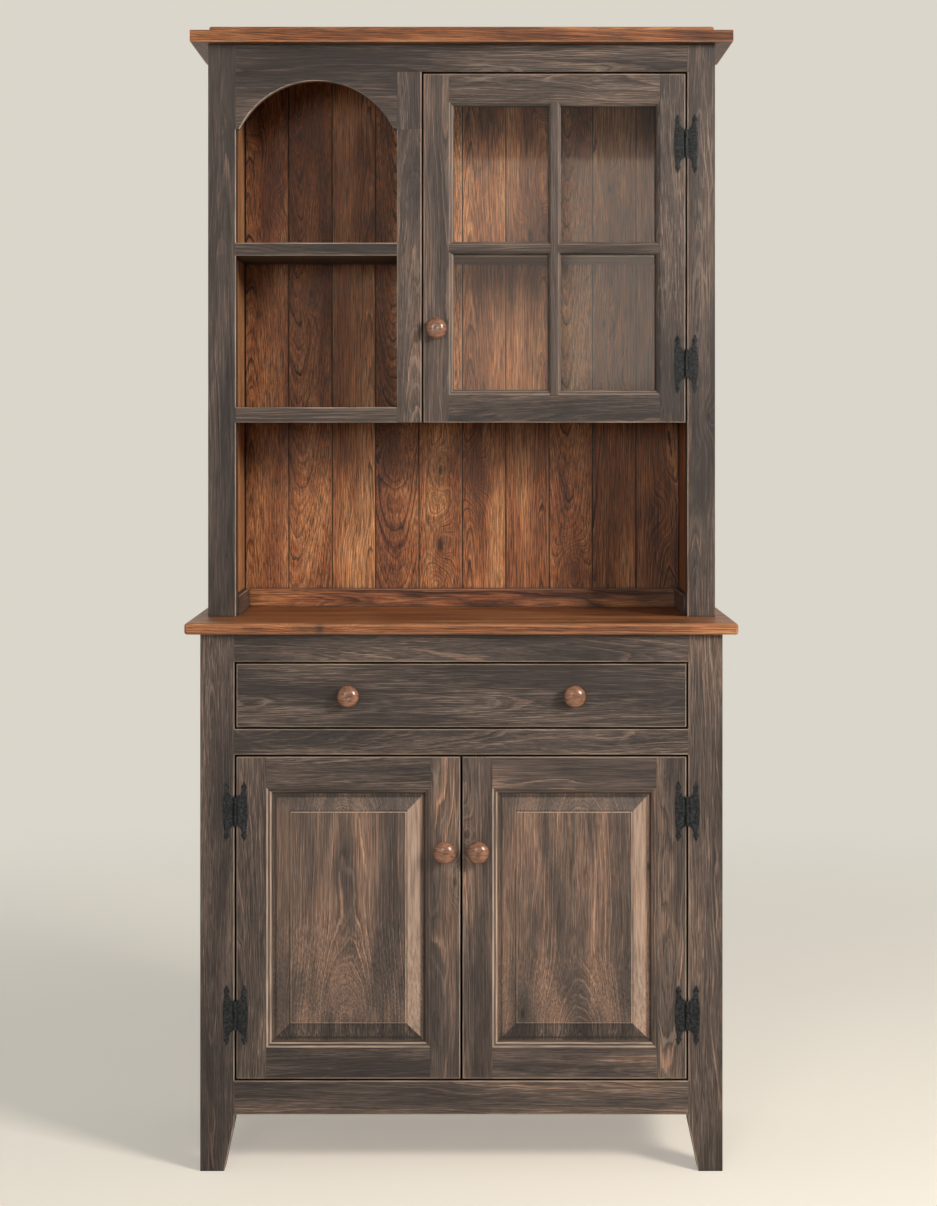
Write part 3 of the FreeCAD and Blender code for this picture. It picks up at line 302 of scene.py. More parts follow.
@dataclass
class Board:
    """A board between two corners, with eased arrises and a place in its log.

    Its section is a rectangle whose corners are quarter circles. Beside each of them stands one
    more point on the flat, where the rub of the arris ends.
    """

    label: str
    low: Corner
    high: Corner
    along: Axis
    ease: float = 0.0005
    rounds: dict[Arris, float] = field(default_factory=dict)
    # Rub of each arris; below zero the dark dirt colour. The back boards use it for a painted highlight and
    # painted shade at their joints.
    rubbed: dict[Arris, float] = field(default_factory=dict)
    stretches: Sequence[Stretch] | None = None
    whole: Sequence[Arris] = ()     # arrises that stay eased beyond the stretches too
    end_ease: float = 0.0005
    end_wear: float = 0.0
    knots: Sequence[tuple[float, float, float]] = ()
    log: Log | None = None

    ARC_STEPS = 4

    def skin(self) -> Skin:
        """The board's shell, with its grain placed."""
        along = self.along.value
        first, second = (along + 1) % 3, (along + 2) % 3
        breaks = [place + step for stretch in self.stretches or () for place in stretch
                  for step in (-BREAK, BREAK)]
        breaks += [knot[0] for knot in self.knots]
        rows = station_row(self.low[along], self.high[along], self.end_ease, breaks)
        place, inset, at_end = rows.T
        bounds = self._bounds(place, first, second)
        radius, wear_and_light = self._corners(place, first, second)
        flat, flat_wear = self._section(bounds, radius, wear_and_light, inset, at_end)
        rings = np.empty(flat.shape[:2] + (3,))
        rings[..., along] = place[:, None]
        rings[..., first] = flat[..., 0]
        rings[..., second] = flat[..., 1]
        log = self.log or Log.sawn(self.label, self.low, self.high, self.along)
        return log.mark(tube(rings, flat_wear))

    def _bounds(self, place: np.ndarray, first: int, second: int) -> np.ndarray:
        """Low and high sides at each ring, (ring, 4); `knots` taper the first axis's low and high."""
        rows = np.array([self.low[first], self.high[first], self.low[second], self.high[second]])
        bounds = np.tile(rows, (len(place), 1))
        if self.knots:
            where, low, high = np.array(self.knots).T
            bounds[:, 0] = np.interp(place, where, low)
            bounds[:, 1] = np.interp(place, where, high)
        return bounds

    def _corners(self, place: np.ndarray, first: int, second: int) -> tuple[np.ndarray, np.ndarray]:
        """Radius and wear of the four long arrises at each ring, both (ring, 4)."""
        signs = [(1, 1), (-1, 1), (-1, -1), (1, -1)]
        radius = np.full((len(place), 4), self.ease)
        wear_and_light = np.zeros((len(place), 4))
        open_here = np.ones(len(place))
        if self.stretches is not None:
            open_here = np.zeros(len(place))
            for low, high in self.stretches:
                open_here[(place > low) & (place < high)] = 1
        for table, target, closed in ((self.rounds, radius, HAIRLINE), (self.rubbed, wear_and_light, 0.0)):
            for sides, amount in table.items():
                named = dict(side.value for side in sides)
                corner = signs.index((named[first], named[second]))
                share = 1.0 if sides in self.whole else open_here
                target[:, corner] = closed + (amount - closed) * share
        return radius, wear_and_light

    def _section(self, bounds: np.ndarray, radius: np.ndarray, wear_and_light: np.ndarray,
                 inset: np.ndarray, at_end: np.ndarray) -> tuple[np.ndarray, np.ndarray]:
        """Rounded rectangles, (ring, round, 2), and their wear, (ring, round)."""
        signs = np.array([(1, 1), (-1, 1), (-1, -1), (1, -1)], float)
        limit = np.minimum(bounds[:, 1] - bounds[:, 0], bounds[:, 3] - bounds[:, 2]) * 0.3
        drawn_in = np.minimum(inset, limit)[:, None]
        bend = np.maximum(radius - drawn_in, HAIRLINE / 4)
        side_x = np.stack([bounds[:, 1], bounds[:, 0], bounds[:, 0], bounds[:, 1]], axis=1)
        side_y = np.stack([bounds[:, 3], bounds[:, 3], bounds[:, 2], bounds[:, 2]], axis=1)
        centre = np.stack([side_x - signs[:, 0] * (drawn_in + bend),
                           side_y - signs[:, 1] * (drawn_in + bend)], axis=-1)
        turn = np.radians(np.arange(4) * 90.0)[:, None] + np.linspace(0, math.pi / 2, self.ARC_STEPS)
        arc = centre[:, :, None, :] + bend[:, :, None, None] * np.stack([np.cos(turn), np.sin(turn)], -1)
        leaving = arc[:, :, -1]
        arriving = np.roll(arc[:, :, 0], -1, axis=1)
        run = arriving - leaving
        length = np.linalg.norm(run, axis=-1, keepdims=True)
        step = run / length * np.minimum(FADE, length * 0.35)
        outline = np.concatenate([arc, (leaving + step)[:, :, None], (arriving - step)[:, :, None]], axis=2)
        rub = np.repeat(wear_and_light[:, :, None], self.ARC_STEPS + 2, axis=2)
        rub[:, :, self.ARC_STEPS:] = 0
        at_end = at_end[:, None, None]
        rub = np.where(at_end > 0, np.maximum(rub, at_end * self.end_wear), rub)
        return outline.reshape(len(inset), -1, 2), rub.reshape(len(inset), -1)


@dataclass
class Strip:
    """A strip of constant section whose ends are cut at a mitre.

    The section's first coordinate runs away from the strip's edge. A mitre moves each point's
    end along the strip in proportion to that distance: end = place + slope * distance.
    """

    section: np.ndarray             # (n, 2): away from the edge, and back from the face
    wear_and_light: np.ndarray                # (n,)
    along: Axis
    edge: float                     # the edge's place on the axis across the strip
    inward: int                     # which way the section runs from the edge
    face: float                     # the face's place on the axis through the strip
    start: float
    end: float
    start_slope: float
    end_slope: float
    through: Axis = Axis.Y

    def skin(self, log: Log) -> Skin:
        """The strip's shell, with the grain of the board it is worked on.

        Args:
            log: That board's place in its log.

        Returns:
            The closed shell.
        """
        across = ({0, 1, 2} - {self.along.value, self.through.value}).pop()
        away = self.section[:, 0]
        rings = np.empty((2, len(away), 3))
        rings[..., across] = self.edge + self.inward * away
        rings[..., self.through.value] = self.face + self.section[:, 1]
        rings[0, :, self.along.value] = self.start + self.start_slope * away
        rings[1, :, self.along.value] = self.end - self.end_slope * away
        return log.mark(tube(rings, np.tile(self.wear_and_light, (2, 1))))


def turned(profile: np.ndarray, centre: Corner, axis: Axis, wear_and_light: np.ndarray, steps: int = 56) -> Skin:
    """A turning: each point of a profile carried round a circle about the axis.

    Args:
        profile: (n, 2) rows of radius and place along the axis.
        centre: The turning's own origin.
        axis: The axis it turns about.
        wear_and_light: (n,) wear of the profile's points.
        steps: Points round each circle.

    Returns:
        The closed shell, without grain.
    """
    angle = np.linspace(0, 2 * math.pi, steps, endpoint=False)
    first, second = (axis.value + 1) % 3, (axis.value + 2) % 3
    rings = np.empty((len(profile), steps, 3))
    rings[..., first] = centre[first] + profile[:, :1] * np.cos(angle)
    rings[..., second] = centre[second] + profile[:, :1] * np.sin(angle)
    rings[..., axis.value] = centre[axis.value] + profile[:, 1:]
    return tube(rings, np.repeat(wear_and_light[:, None], steps, axis=1))


def quarter_round(width: float, depth: float, quirk: float, steps: int = 8) -> np.ndarray:
    """A quarter-ellipse moulding that leaves a small step at the face.

    With a from 0 to 90 degrees, a point lies width*sin(a) in from the edge and
    quirk + (depth - quirk)*(1 - cos(a)) back from the face.

    Args:
        width: Its run across the framing.
        depth: Its run back from the face.
        quirk: The step down from the face.
        steps: Points on the curve.

    Returns:
        Points of (in from the edge, back from the face), from the face inwards.
    """
    angle = np.linspace(0, math.pi / 2, steps)
    return np.column_stack([width * np.sin(angle), quirk + (depth - quirk) * (1 - np.cos(angle))])


# ---------------------------------------------------------------- finishes

def linear(colour: str) -> tuple[float, float, float, float]:
    """An sRGB hex colour as linear red, green, blue and alpha."""
    values = (int(colour[place:place + 2], 16) / 255 for place in (1, 3, 5))
    return tuple(value / 12.92 if value <= 0.04045 else ((value + 0.055) / 1.055) ** 2.4
                 for value in values) + (1.0,)


def add_node(tree: bpy.types.NodeTree, kind: str, inputs: dict | None = None, **settings) -> bpy.types.Node:
    """Add a shader node.

    Args:
        tree: The material's node tree.
        kind: The node's type name without "ShaderNode".
        inputs: Values, or sockets to link from, by the name or index of the input.
        **settings: The node's own properties.

    Returns:
        The new node.
    """
    node = tree.nodes.new("ShaderNode" + kind)
    for name, value in settings.items():
        setattr(node, name, value)
    for key, value in (inputs or {}).items():
        if isinstance(value, Socket):
            tree.links.new(value, node.inputs[key])
        else:
            node.inputs[key].default_value = value
    return node


@dataclass(frozen=True)
class Pattern:
    """A noise stretched along and across the grain, and which of its values run from 0 to 1."""

    pitch: Corner                   # marks to the metre in each direction
    span: Stretch
    detail: float
    rough: float = 0.6


class Graph:
    """A node tree in the making: each call adds a node and gives the output that others read."""

    def __init__(self, tree: bpy.types.NodeTree) -> None:
        """Take a tree and empty it."""
        tree.nodes.clear()
        self.tree = tree

    @classmethod
    def of_material(cls, name: str) -> tuple[bpy.types.Material, "Graph"]:
        """A new node material and its tree."""
        material = bpy.data.materials.new(name)
        material.use_nodes = True
        return material, cls(material.node_tree)

    def add(self, kind: str, inputs: dict | None = None, output: int | str = 0, **settings) -> Socket:
        """Add any node, as add_node does, and give one of its outputs."""
        return add_node(self.tree, kind, inputs, **settings).outputs[output]

    def math(self, operation: str, *values: object, clamp: bool = False) -> Socket:
        """A number worked out from others."""
        return self.add("Math", dict(enumerate(values)), operation=operation, use_clamp=clamp)

    def vector(self, operation: str, *values: object, output: str = "Vector") -> Socket:
        """A vector, or with the output "Value" a number, worked out from vectors."""
        return self.add("VectorMath", dict(enumerate(values)), output, operation=operation)

    def spread(self, value: Socket, span: Stretch = (0.0, 1.0), target: Stretch = (0.0, 1.0),
               curve: str = "LINEAR") -> Socket:
        """A number carried from one stretch on to another and held at its ends."""
        return self.add("MapRange", {"Value": value, "From Min": span[0], "From Max": span[1],
                                     "To Min": target[0], "To Max": target[1]}, interpolation_type=curve)

    def mix(self, share: object, first: object, second: object, blend: str = "MIX") -> Socket:
        """One colour blended into another by a share from 0 to 1."""
        return self.add("Mix", {0: share, 6: first, 7: second}, 2, data_type="RGBA", blend_type=blend)

    def attribute(self, name: str, output: str = "Fac") -> Socket:
        """What a piece's points carry under a name."""
        return self.add("Attribute", None, output, attribute_name=name)

    def noise(self, place: Socket, pitch: Corner, detail: float, output: int | str = 0,
              rough: float = 0.5) -> Socket:
        """A noise with a pitch of its own in each direction."""
        return self.add("TexNoise", {"Vector": self.vector("MULTIPLY", place, pitch), "Scale": 1.0,
                                     "Detail": detail, "Roughness": rough}, output)

    def drawn(self, place: Socket, pattern: Pattern) -> Socket:
        """A pattern's value from 0 to 1."""
        noise = self.noise(place, pattern.pitch, pattern.detail, rough=pattern.rough)
        return self.spread(noise, pattern.span)

    def bump(self, height: Socket, strength: float, distance: float) -> Socket:
        """A normal that rises and falls with a height."""
        return self.add("Bump", {"Strength": strength, "Distance": distance, "Height": height})

    def surface(self, shader: Socket, kind: str = "OutputMaterial") -> None:
        """Make a shader the surface."""
        add_node(self.tree, kind, {"Surface": shader})


@dataclass(frozen=True)
class Finish:
    """What a piece is finished with: a material, and the slot that it fills."""

    name: str
    slot: str

    def build(self) -> bpy.types.Material:
        """Make the node material."""
        material, graph = Graph.of_material(self.name)
        graph.surface(self.shader(graph))
        return material

    def shader(self, graph: Graph) -> Socket:
        """The surface's shader, which each kind of finish draws in its own way."""
        raise NotImplementedError


@dataclass(frozen=True)
class StainedWood(Finish):
    """Flat-sawn boards under a wiped stain and a satin lacquer, rubbed through at the arrises.

    The eye gets growth rings cut by the board's face, knots that push them aside, fine fibres,
    stretches where the stain took more or less, bare streaks that follow the rings, bare wood
    along the arrises, which on some sides is a painted highlight where they face the light, and
    the dark dirt colour where the rub is below zero, which is partly dirt and partly painted
    shade. Corners, crevices and gaps get painted shade in the dirt colour from ambient
    occlusion. Rings are 3 to 8.5 mm apart, as on pine and poplar. Fibres, really about 0.3 mm,
    are drawn 1.2 to 2.4 mm apart so that they show from across a room.
    """

    deep: str
    ground: str
    warm: str
    bare: str
    # Dark dirt; also the colour of the painted shade in corners, quirks and joints.
    dirt_and_shade: str
    line_gain: Corner               # what a full ring line does to the stain under it
    ring_spacing: float
    line_share: float               # how much of a ring its late wood takes
    line_strength: float
    streak_strength: float
    fibre_gain: float
    knot_rings: float               # how many rings a knot pushes aside
    roughness: float
    stray_knots: float = 0.0        # share of the cells that hold a stray knot
    wear_strength: float = 0.85
    fibre_pitch: float = 0.0024
    sway: float = 0.024             # how far the log's rings wander
    groove_gain: float = 1.0        # what the early wood past a ring line does to the stain
    scratch: float = 0.0            # how far the stain is brushed off along short straight lines
    strand_share: float = 0.42      # how much the strands that follow the rings change the stain
    shade_reach: float = 0.008          # how far the painted shade in corners and gaps reaches
    line_hold: float = 0.30         # how much of a ring line the wiping leaves at least
    tremor: float = 1.1             # how far a ring line's edge wavers, in rings

    CLOUD = Pattern((2.6, 20.0, 20.0), (0.36, 0.64), 2.0)       # where more or less stain was taken
    PATCH = Pattern((4.5, 31.0, 37.0), (0.38, 0.62), 1.0)       # where the ring lines show
    STRAND = Pattern((4.5, 3.0, 0.0), (0.34, 0.66), 3.0)        # across: marks to the ring
    DASH = Pattern((5.0, 3.8, 0.0), (0.57, 0.72), 2.0)          # bare streaks, also to the ring
    GRIT = Pattern((13.0, 260.0, 260.0), (0.30, 0.70), 2.0)     # breaks in a rubbed arris
    BRUSHED = Pattern((8.0, 760.0, 760.0), (0.54, 0.68), 3.0)   # straight scratches
    FIBRES_ALONG = 14.0
    FIBRE_SPAN = (0.40, 0.60)
    SWAY_PITCH = (2.6, 9.0, 9.0)
    TREMOR_PITCH = (13.0, 70.0, 70.0)
    EYE_PITCH = (18.0, 42.0, 0.0)   # 1 over a knot's half length and half width
    CELL_PITCH = (4.0, 10.0, 0.0)   # stray knots' cells to the metre
    STRAY_PITCH = 7.0               # 1 over a stray knot's radius, in cells
    HEART = (0.92, 0.99)            # the part of a knot that is its dark heart
    HEART_SHARE = 0.80
    KNOT_SHADE = 0.45
    CORNER_SHADE = (0.80, 0.25)           # how open a corner is where its painted shade begins and is full
    CORNER_SHADE_SHARE = 0.85
    RISE = (0.93, 0.32)             # where the late wood's slow rise ends, and how high
    RIDGE = (0.80, 0.90)            # where its narrow ridge climbs
    RIDGE_HEIGHT = 0.80
    RING_END = (1.0, 0.96)          # where the ridge falls off
    PAST = (0.18, 0.02)             # where the early wood past a line fades and is full
    RING_WEIGHT = (0.25, 1.2)       # how strongly the faintest and the boldest ring show
    FIBRE_HOLD = (0.55, 1.25)       # the same, between and along the fibres
    CLOUD_SHARE = 0.40
    STOPS = (0.22, 0.60, 0.98)      # where the stain is deep, ground and warm
    GRIT_RANGE = (0.9, 0.35)        # span and floor of the breaks in a rubbed arris
    FIBRE_ROUGH = 0.16              # roughness that the fibres add, about the finish's own
    LINE_RELIEF = 0.4
    BUMP = (0.4, 0.0004)            # strength, and height in metres

    def shader(self, graph: Graph) -> Socket:
        """Stain, ring lines and bare wood, one over the other."""
        eye = graph.attribute("eye", "Vector")
        place = self._bowed(graph, graph.attribute("grain", "Vector"), eye)
        wear_and_light = graph.attribute("wear_and_light")
        bell, heart = self._knots(graph, place, eye)
        phase = self._phase(graph, place, bell)
        across = 1 / self.fibre_pitch
        fibres = Pattern((self.FIBRES_ALONG, across, across), self.FIBRE_SPAN, 5.0, 0.74)
        fibre = graph.drawn(place, fibres)
        cloud = graph.drawn(place, self.CLOUD)
        up_log = graph.add("SeparateXYZ", {0: place})
        flow = graph.add("CombineXYZ", {0: up_log, 1: phase})   # what is drawn here follows the rings
        line, groove = self._line(graph, phase, graph.drawn(place, self.PATCH), fibre)
        white = (1.0, 1.0, 1.0, 1.0)
        lined = graph.mix(line, white, self.line_gain + (1.0,))
        grooved = graph.mix(groove, white, (self.groove_gain,) * 3 + (1.0,))
        colour = self._ground(graph, cloud, graph.drawn(flow, self.STRAND), fibre)
        colour = graph.mix(1.0, graph.mix(1.0, colour, lined, "MULTIPLY"), grooved, "MULTIPLY")
        # In turn: knot shading of the stain, dark knot hearts, bare wood (in places a painted highlight),
        # the dirt colour where the rub is below zero (partly dirt, partly painted shade), and painted shade
        # from ambient occlusion, which darkens corners, crevices and gaps where shade falls.
        occlusion = graph.add("AmbientOcclusion", {"Distance": self.shade_reach}, "AO", samples=4)
        for share, stain in (
                (graph.math("MULTIPLY", bell, self.KNOT_SHADE), self.deep), (heart, self.dirt_and_shade),
                (self._bare(graph, place, flow, wear_and_light, cloud), self.bare),
                (graph.math("MULTIPLY", wear_and_light, -1.0, clamp=True), self.dirt_and_shade),
                (graph.spread(occlusion, self.CORNER_SHADE, (0.0, self.CORNER_SHADE_SHARE)), self.dirt_and_shade)):
            colour = graph.mix(share, colour, linear(stain))
        rough = graph.math("MULTIPLY_ADD", fibre, self.FIBRE_ROUGH, self.roughness - self.FIBRE_ROUGH / 2)
        bump = graph.bump(graph.math("MULTIPLY_ADD", line, self.LINE_RELIEF, fibre), *self.BUMP)
        return graph.add("BsdfPrincipled", {"Base Color": colour, "Roughness": rough, "Normal": bump,
                                            "IOR": 1.38})

    @staticmethod
    def _bowed(graph: Graph, place: Socket, eye: Socket) -> Socket:
        """Places whose depth in the log is less by bow * d^2 at a distance d below the eye."""
        below = graph.add("SeparateXYZ", {0: graph.vector("SUBTRACT", eye, place)})
        held = graph.math("MAXIMUM", below, 0.0)
        nearer = graph.math("MULTIPLY", graph.math("MULTIPLY", held, held), graph.attribute("bow"))
        return graph.vector("SUBTRACT", place, graph.add("CombineXYZ", {2: nearer}))

    @staticmethod
    def _bell(graph: Graph, distance: Socket) -> Socket:
        """exp(-d^2) of a distance."""
        square = graph.math("MULTIPLY", distance, distance)
        return graph.math("EXPONENT", graph.math("MULTIPLY", square, -1.0))

    def _knots(self, graph: Graph, place: Socket, eye: Socket) -> tuple[Socket, Socket]:
        """How far knots push the rings, and their dark hearts.

        The board's own eye lies at the place in its "eye" attribute, whose third part is its
        strength. Stray knots are a sparse draw of cells.
        """
        strength = graph.add("SeparateXYZ", {0: eye}, 2)
        scaled = graph.vector("MULTIPLY", graph.vector("SUBTRACT", place, eye), self.EYE_PITCH)
        own = graph.math("MULTIPLY", self._bell(graph, graph.vector("LENGTH", scaled, output="Value")),
                         strength)
        draw = add_node(graph.tree, "TexVoronoi", {
            "Vector": graph.vector("MULTIPLY", place, self.CELL_PITCH), "Scale": 1.0,
            "Randomness": 0.4}, voronoi_dimensions="2D")
        distance = graph.math("MULTIPLY", draw.outputs["Distance"], self.STRAY_PITCH)
        lot = graph.add("SeparateColor", {0: draw.outputs["Color"]})
        stray = graph.math("MULTIPLY", self._bell(graph, distance),
                           graph.math("LESS_THAN", lot, self.stray_knots))
        bell = graph.math("MAXIMUM", own, stray)
        return bell, graph.spread(bell, self.HEART, (0.0, self.HEART_SHARE))

    def _phase(self, graph: Graph, place: Socket, bell: Socket) -> Socket:
        """Rings counted out from the pith: the log sways, knots push rings aside, edges waver."""
        swaying = graph.noise(place, self.SWAY_PITCH, 2.0, "Color")
        centred = graph.vector("SUBTRACT", swaying, (0.5, 0.5, 0.5))
        bent = graph.vector("MULTIPLY_ADD", centred, (0.0, self.sway, self.sway), place)
        radius = graph.vector("LENGTH", graph.vector("MULTIPLY", bent, (0.0, 1.0, 1.0)), output="Value")
        rings = graph.math("DIVIDE", radius, self.ring_spacing)
        pushed = graph.math("MULTIPLY_ADD", bell, self.knot_rings, rings)
        return graph.math("MULTIPLY_ADD", graph.noise(place, self.TREMOR_PITCH, 3.0), self.tremor, pushed)

    def _line(self, graph: Graph, phase: Socket, patch: Socket, fibre: Socket) -> tuple[Socket, ...]:
        """How strongly a ring's late wood shows, and the soft early wood just past its sharp end.

        The late wood is a broad slow rise with a narrow ridge at its end. Each ring has a weight of
        its own, and patches of the board show more or less of it.
        """
        part = graph.math("FRACT", phase)
        end, height = self.RISE
        rise = graph.math("ADD", graph.spread(part, (1.0 - self.line_share, end), (0.0, height)),
                          graph.spread(part, self.RIDGE, (0.0, self.RIDGE_HEIGHT)))
        ridge = graph.math("MULTIPLY", rise, graph.spread(part, self.RING_END))
        past = graph.spread(part, self.PAST)
        lot = graph.add("TexWhiteNoise", {"W": graph.math("FLOOR", phase)}, "Value", noise_dimensions="1D")
        shown = graph.spread(lot, target=self.RING_WEIGHT)
        for factor, target in ((patch, (self.line_hold, self.line_strength)), (fibre, self.FIBRE_HOLD)):
            shown = graph.math("MULTIPLY", shown, graph.spread(factor, target=target))
        return tuple(graph.math("MULTIPLY", profile, shown, clamp=True) for profile in (ridge, past))

    def _ground(self, graph: Graph, cloud: Socket, strand: Socket, fibre: Socket) -> Socket:
        """The stain between the lines: dark to warm by the board's tone, broad clouds and strands."""
        level = graph.math("MULTIPLY_ADD", cloud, self.CLOUD_SHARE, graph.attribute("tone"))
        share = graph.math("MULTIPLY_ADD", strand, self.strand_share, level)
        ramp = add_node(graph.tree, "ValToRGB", {0: share})
        stops = ramp.color_ramp.elements
        deep, ground, warm = self.STOPS
        stops[0].position, stops[0].color = deep, linear(self.deep)
        stops[1].position, stops[1].color = warm, linear(self.warm)
        stops.new(ground).color = linear(self.ground)
        low, high = ((1.0 + gain,) * 3 + (1.0,) for gain in (-self.fibre_gain, self.fibre_gain))
        return graph.mix(1.0, ramp.outputs[0], graph.mix(fibre, low, high), "MULTIPLY")

    def _bare(self, graph: Graph, place: Socket, flow: Socket, wear_and_light: Socket, cloud: Socket) -> Socket:
        """Bare wood: along the arrises, in places as a painted highlight, broken every centimetre or so,
        and in streaks along the rings.
        """
        uneven = graph.math("MULTIPLY_ADD", graph.drawn(place, self.GRIT), *self.GRIT_RANGE)
        rubbed = graph.math("MULTIPLY", wear_and_light, uneven, clamp=True)
        bare = graph.math("MULTIPLY", rubbed, self.wear_strength)
        for mark, strength in ((graph.drawn(flow, self.DASH), self.streak_strength),
                               (graph.drawn(place, self.BRUSHED), self.scratch)):
            streak = graph.math("MULTIPLY", graph.math("MULTIPLY", mark, cloud), strength)
            bare = graph.math("MAXIMUM", bare, streak)
        return bare


@dataclass(frozen=True)
class TurnedWood(Finish):
    """Small turnings of a dense brown wood under gloss lacquer, with soft dark streaks."""

    ground: str
    deep: str
    roughness: float

    STREAK_PITCH = (60.0, 90.0, 330.0)

    def shader(self, graph: Graph) -> Socket:
        """Soft dark streaks under a gloss."""
        streak = graph.noise(graph.attribute("grain", "Vector"), self.STREAK_PITCH, 3.0)
        colour = graph.mix(graph.spread(streak, (0.18, 0.62)), linear(self.deep), linear(self.ground))
        dark = graph.mix(graph.attribute("wear_and_light"), colour, linear(self.deep))
        return graph.add("BsdfPrincipled", {"Base Color": dark, "Roughness": self.roughness, "IOR": 1.62,
                                            "Normal": graph.bump(streak, 0.06, 0.0003)})


@dataclass(frozen=True)
class HammeredIron(Finish):
    """Wrought plate, hammered and blacked: near black, with grey painted glints on the hammer's facets."""

    name: str = "Blacked_Hammered_Iron"
    slot: str = "black_iron"
    ground: str = "#090a0b"
    painted_glint: str = "#353a3e"
    dent: float = 0.0030            # spacing of the hammer marks
    cloud_pitch: float = 160.0      # patches of scale to the metre

    def shader(self, graph: Graph) -> Socket:
        """Facets with painted grey glints, in patches."""
        place = graph.add("TexCoord", None, "Object")
        marks = graph.add("TexVoronoi", {"Vector": place, "Scale": 1.0 / self.dent}, "Distance",
                          feature="SMOOTH_F1")
        cloud = graph.add("TexNoise", {"Vector": place, "Scale": self.cloud_pitch, "Detail": 3.0})
        share = graph.spread(graph.math("MULTIPLY", marks, cloud), (0.10, 0.42))
        colour = graph.mix(share, linear(self.ground), linear(self.painted_glint))
        return graph.add("BsdfPrincipled", {"Base Color": colour, "IOR": 1.3, "Roughness": 0.42,
                                            "Normal": graph.bump(marks, 0.7, 0.0008)})


@dataclass(frozen=True)
class DrawnSteel(Finish):
    """The hinge pins' wire: grey steel with fine marks along it."""

    name: str = "Drawn_Steel_Wire"
    slot: str = "pin_steel"
    dark: str = "#4a4a4b"
    light: str = "#7c7c7d"

    MARK_PITCH = (4000.0, 4000.0, 120.0)

    def shader(self, graph: Graph) -> Socket:
        """Two greys in lines along the wire."""
        marks = graph.noise(graph.add("TexCoord", None, "Object"), self.MARK_PITCH, 2.0)
        colour = graph.mix(marks, linear(self.dark), linear(self.light))
        return graph.add("BsdfPrincipled", {"Base Color": colour, "Metallic": 1.0, "Roughness": 0.38})


@dataclass(frozen=True)
class SheetGlass(Finish):
    """Clear drawn sheet glass: a faint waviness in its reflections, and light passes through it."""

    name: str = "Clear_Sheet_Glass"
    slot: str = "clear_glass"
    tint: str = "#f6faf8"
    clear: str = "#fcfdfc"          # what it lets through to the shadows
    wave: float = 0.16              # length of the draw waves

    def shader(self, graph: Graph) -> Socket:
        """Glass that lets lamps' light straight through."""
        waves = graph.add("TexNoise", {"Vector": graph.add("TexCoord", None, "Object"),
                                       "Scale": 1.0 / self.wave, "Detail": 0.0})
        glass = graph.add("BsdfPrincipled", {
            "Base Color": linear(self.tint), "Roughness": 0.0, "IOR": 1.5, "Transmission Weight": 1.0,
            "Normal": graph.bump(waves, 0.05, 0.001)})
        clear = graph.add("BsdfTransparent", {"Color": linear(self.clear)})
        in_shadow = graph.add("LightPath", None, "Is Shadow Ray")
        return graph.add("MixShader", {0: in_shadow, 1: glass, 2: clear})


CHARCOAL = StainedWood(
    name="Charcoal_Stained_Pine", slot="charcoal_wood",
    deep="#322c2a", ground="#4f4540", warm="#7c6253", bare="#ceb6a3", dirt_and_shade="#14110f",
    line_gain=(2.46, 2.16, 1.88), ring_spacing=0.0050, line_share=0.26, line_strength=1.1,
    streak_strength=0.36, fibre_gain=0.46, knot_rings=2.8, roughness=0.48, stray_knots=0.10,
    groove_gain=0.60, scratch=0.42, fibre_pitch=0.0014, strand_share=0.27, tremor=0.8)
WALNUT = StainedWood(
    name="Walnut_Stained_Pine", slot="walnut_wood",
    deep="#4f2a18", ground="#9a603a", warm="#c89262", bare="#d6a47c", dirt_and_shade="#150c07",
    line_gain=(0.12, 0.09, 0.07), ring_spacing=0.0029, line_share=0.40, line_strength=1.1,
    streak_strength=0.30, fibre_gain=0.85, knot_rings=9.0, roughness=0.42, stray_knots=0.16,
    wear_strength=0.6, sway=0.014, scratch=0.22, strand_share=0.34, groove_gain=1.14,
    fibre_pitch=0.0012, line_hold=0.60, tremor=0.75)
PLAIN = StainedWood(
    name="Sealed_Poplar", slot="plain_wood",
    deep="#6f4e35", ground="#8a6344", warm="#a1795a", bare="#a98261", dirt_and_shade="#3b271a",
    line_gain=(0.75, 0.72, 0.70), ring_spacing=0.0085, line_share=0.45, line_strength=0.7,
    streak_strength=0.1, fibre_gain=0.10, knot_rings=2.0, roughness=0.6, stray_knots=0.1,
    wear_strength=0.4)
KNOB_WOOD = TurnedWood(
    name="Turned_Lacquered_Birch", slot="knob_wood", ground="#9a6c52", deep="#452a1e", roughness=0.25)
IRON = HammeredIron()
STEEL = DrawnSteel()
GLASS = SheetGlass()


# ---------------------------------------------------------------- pieces in Blender

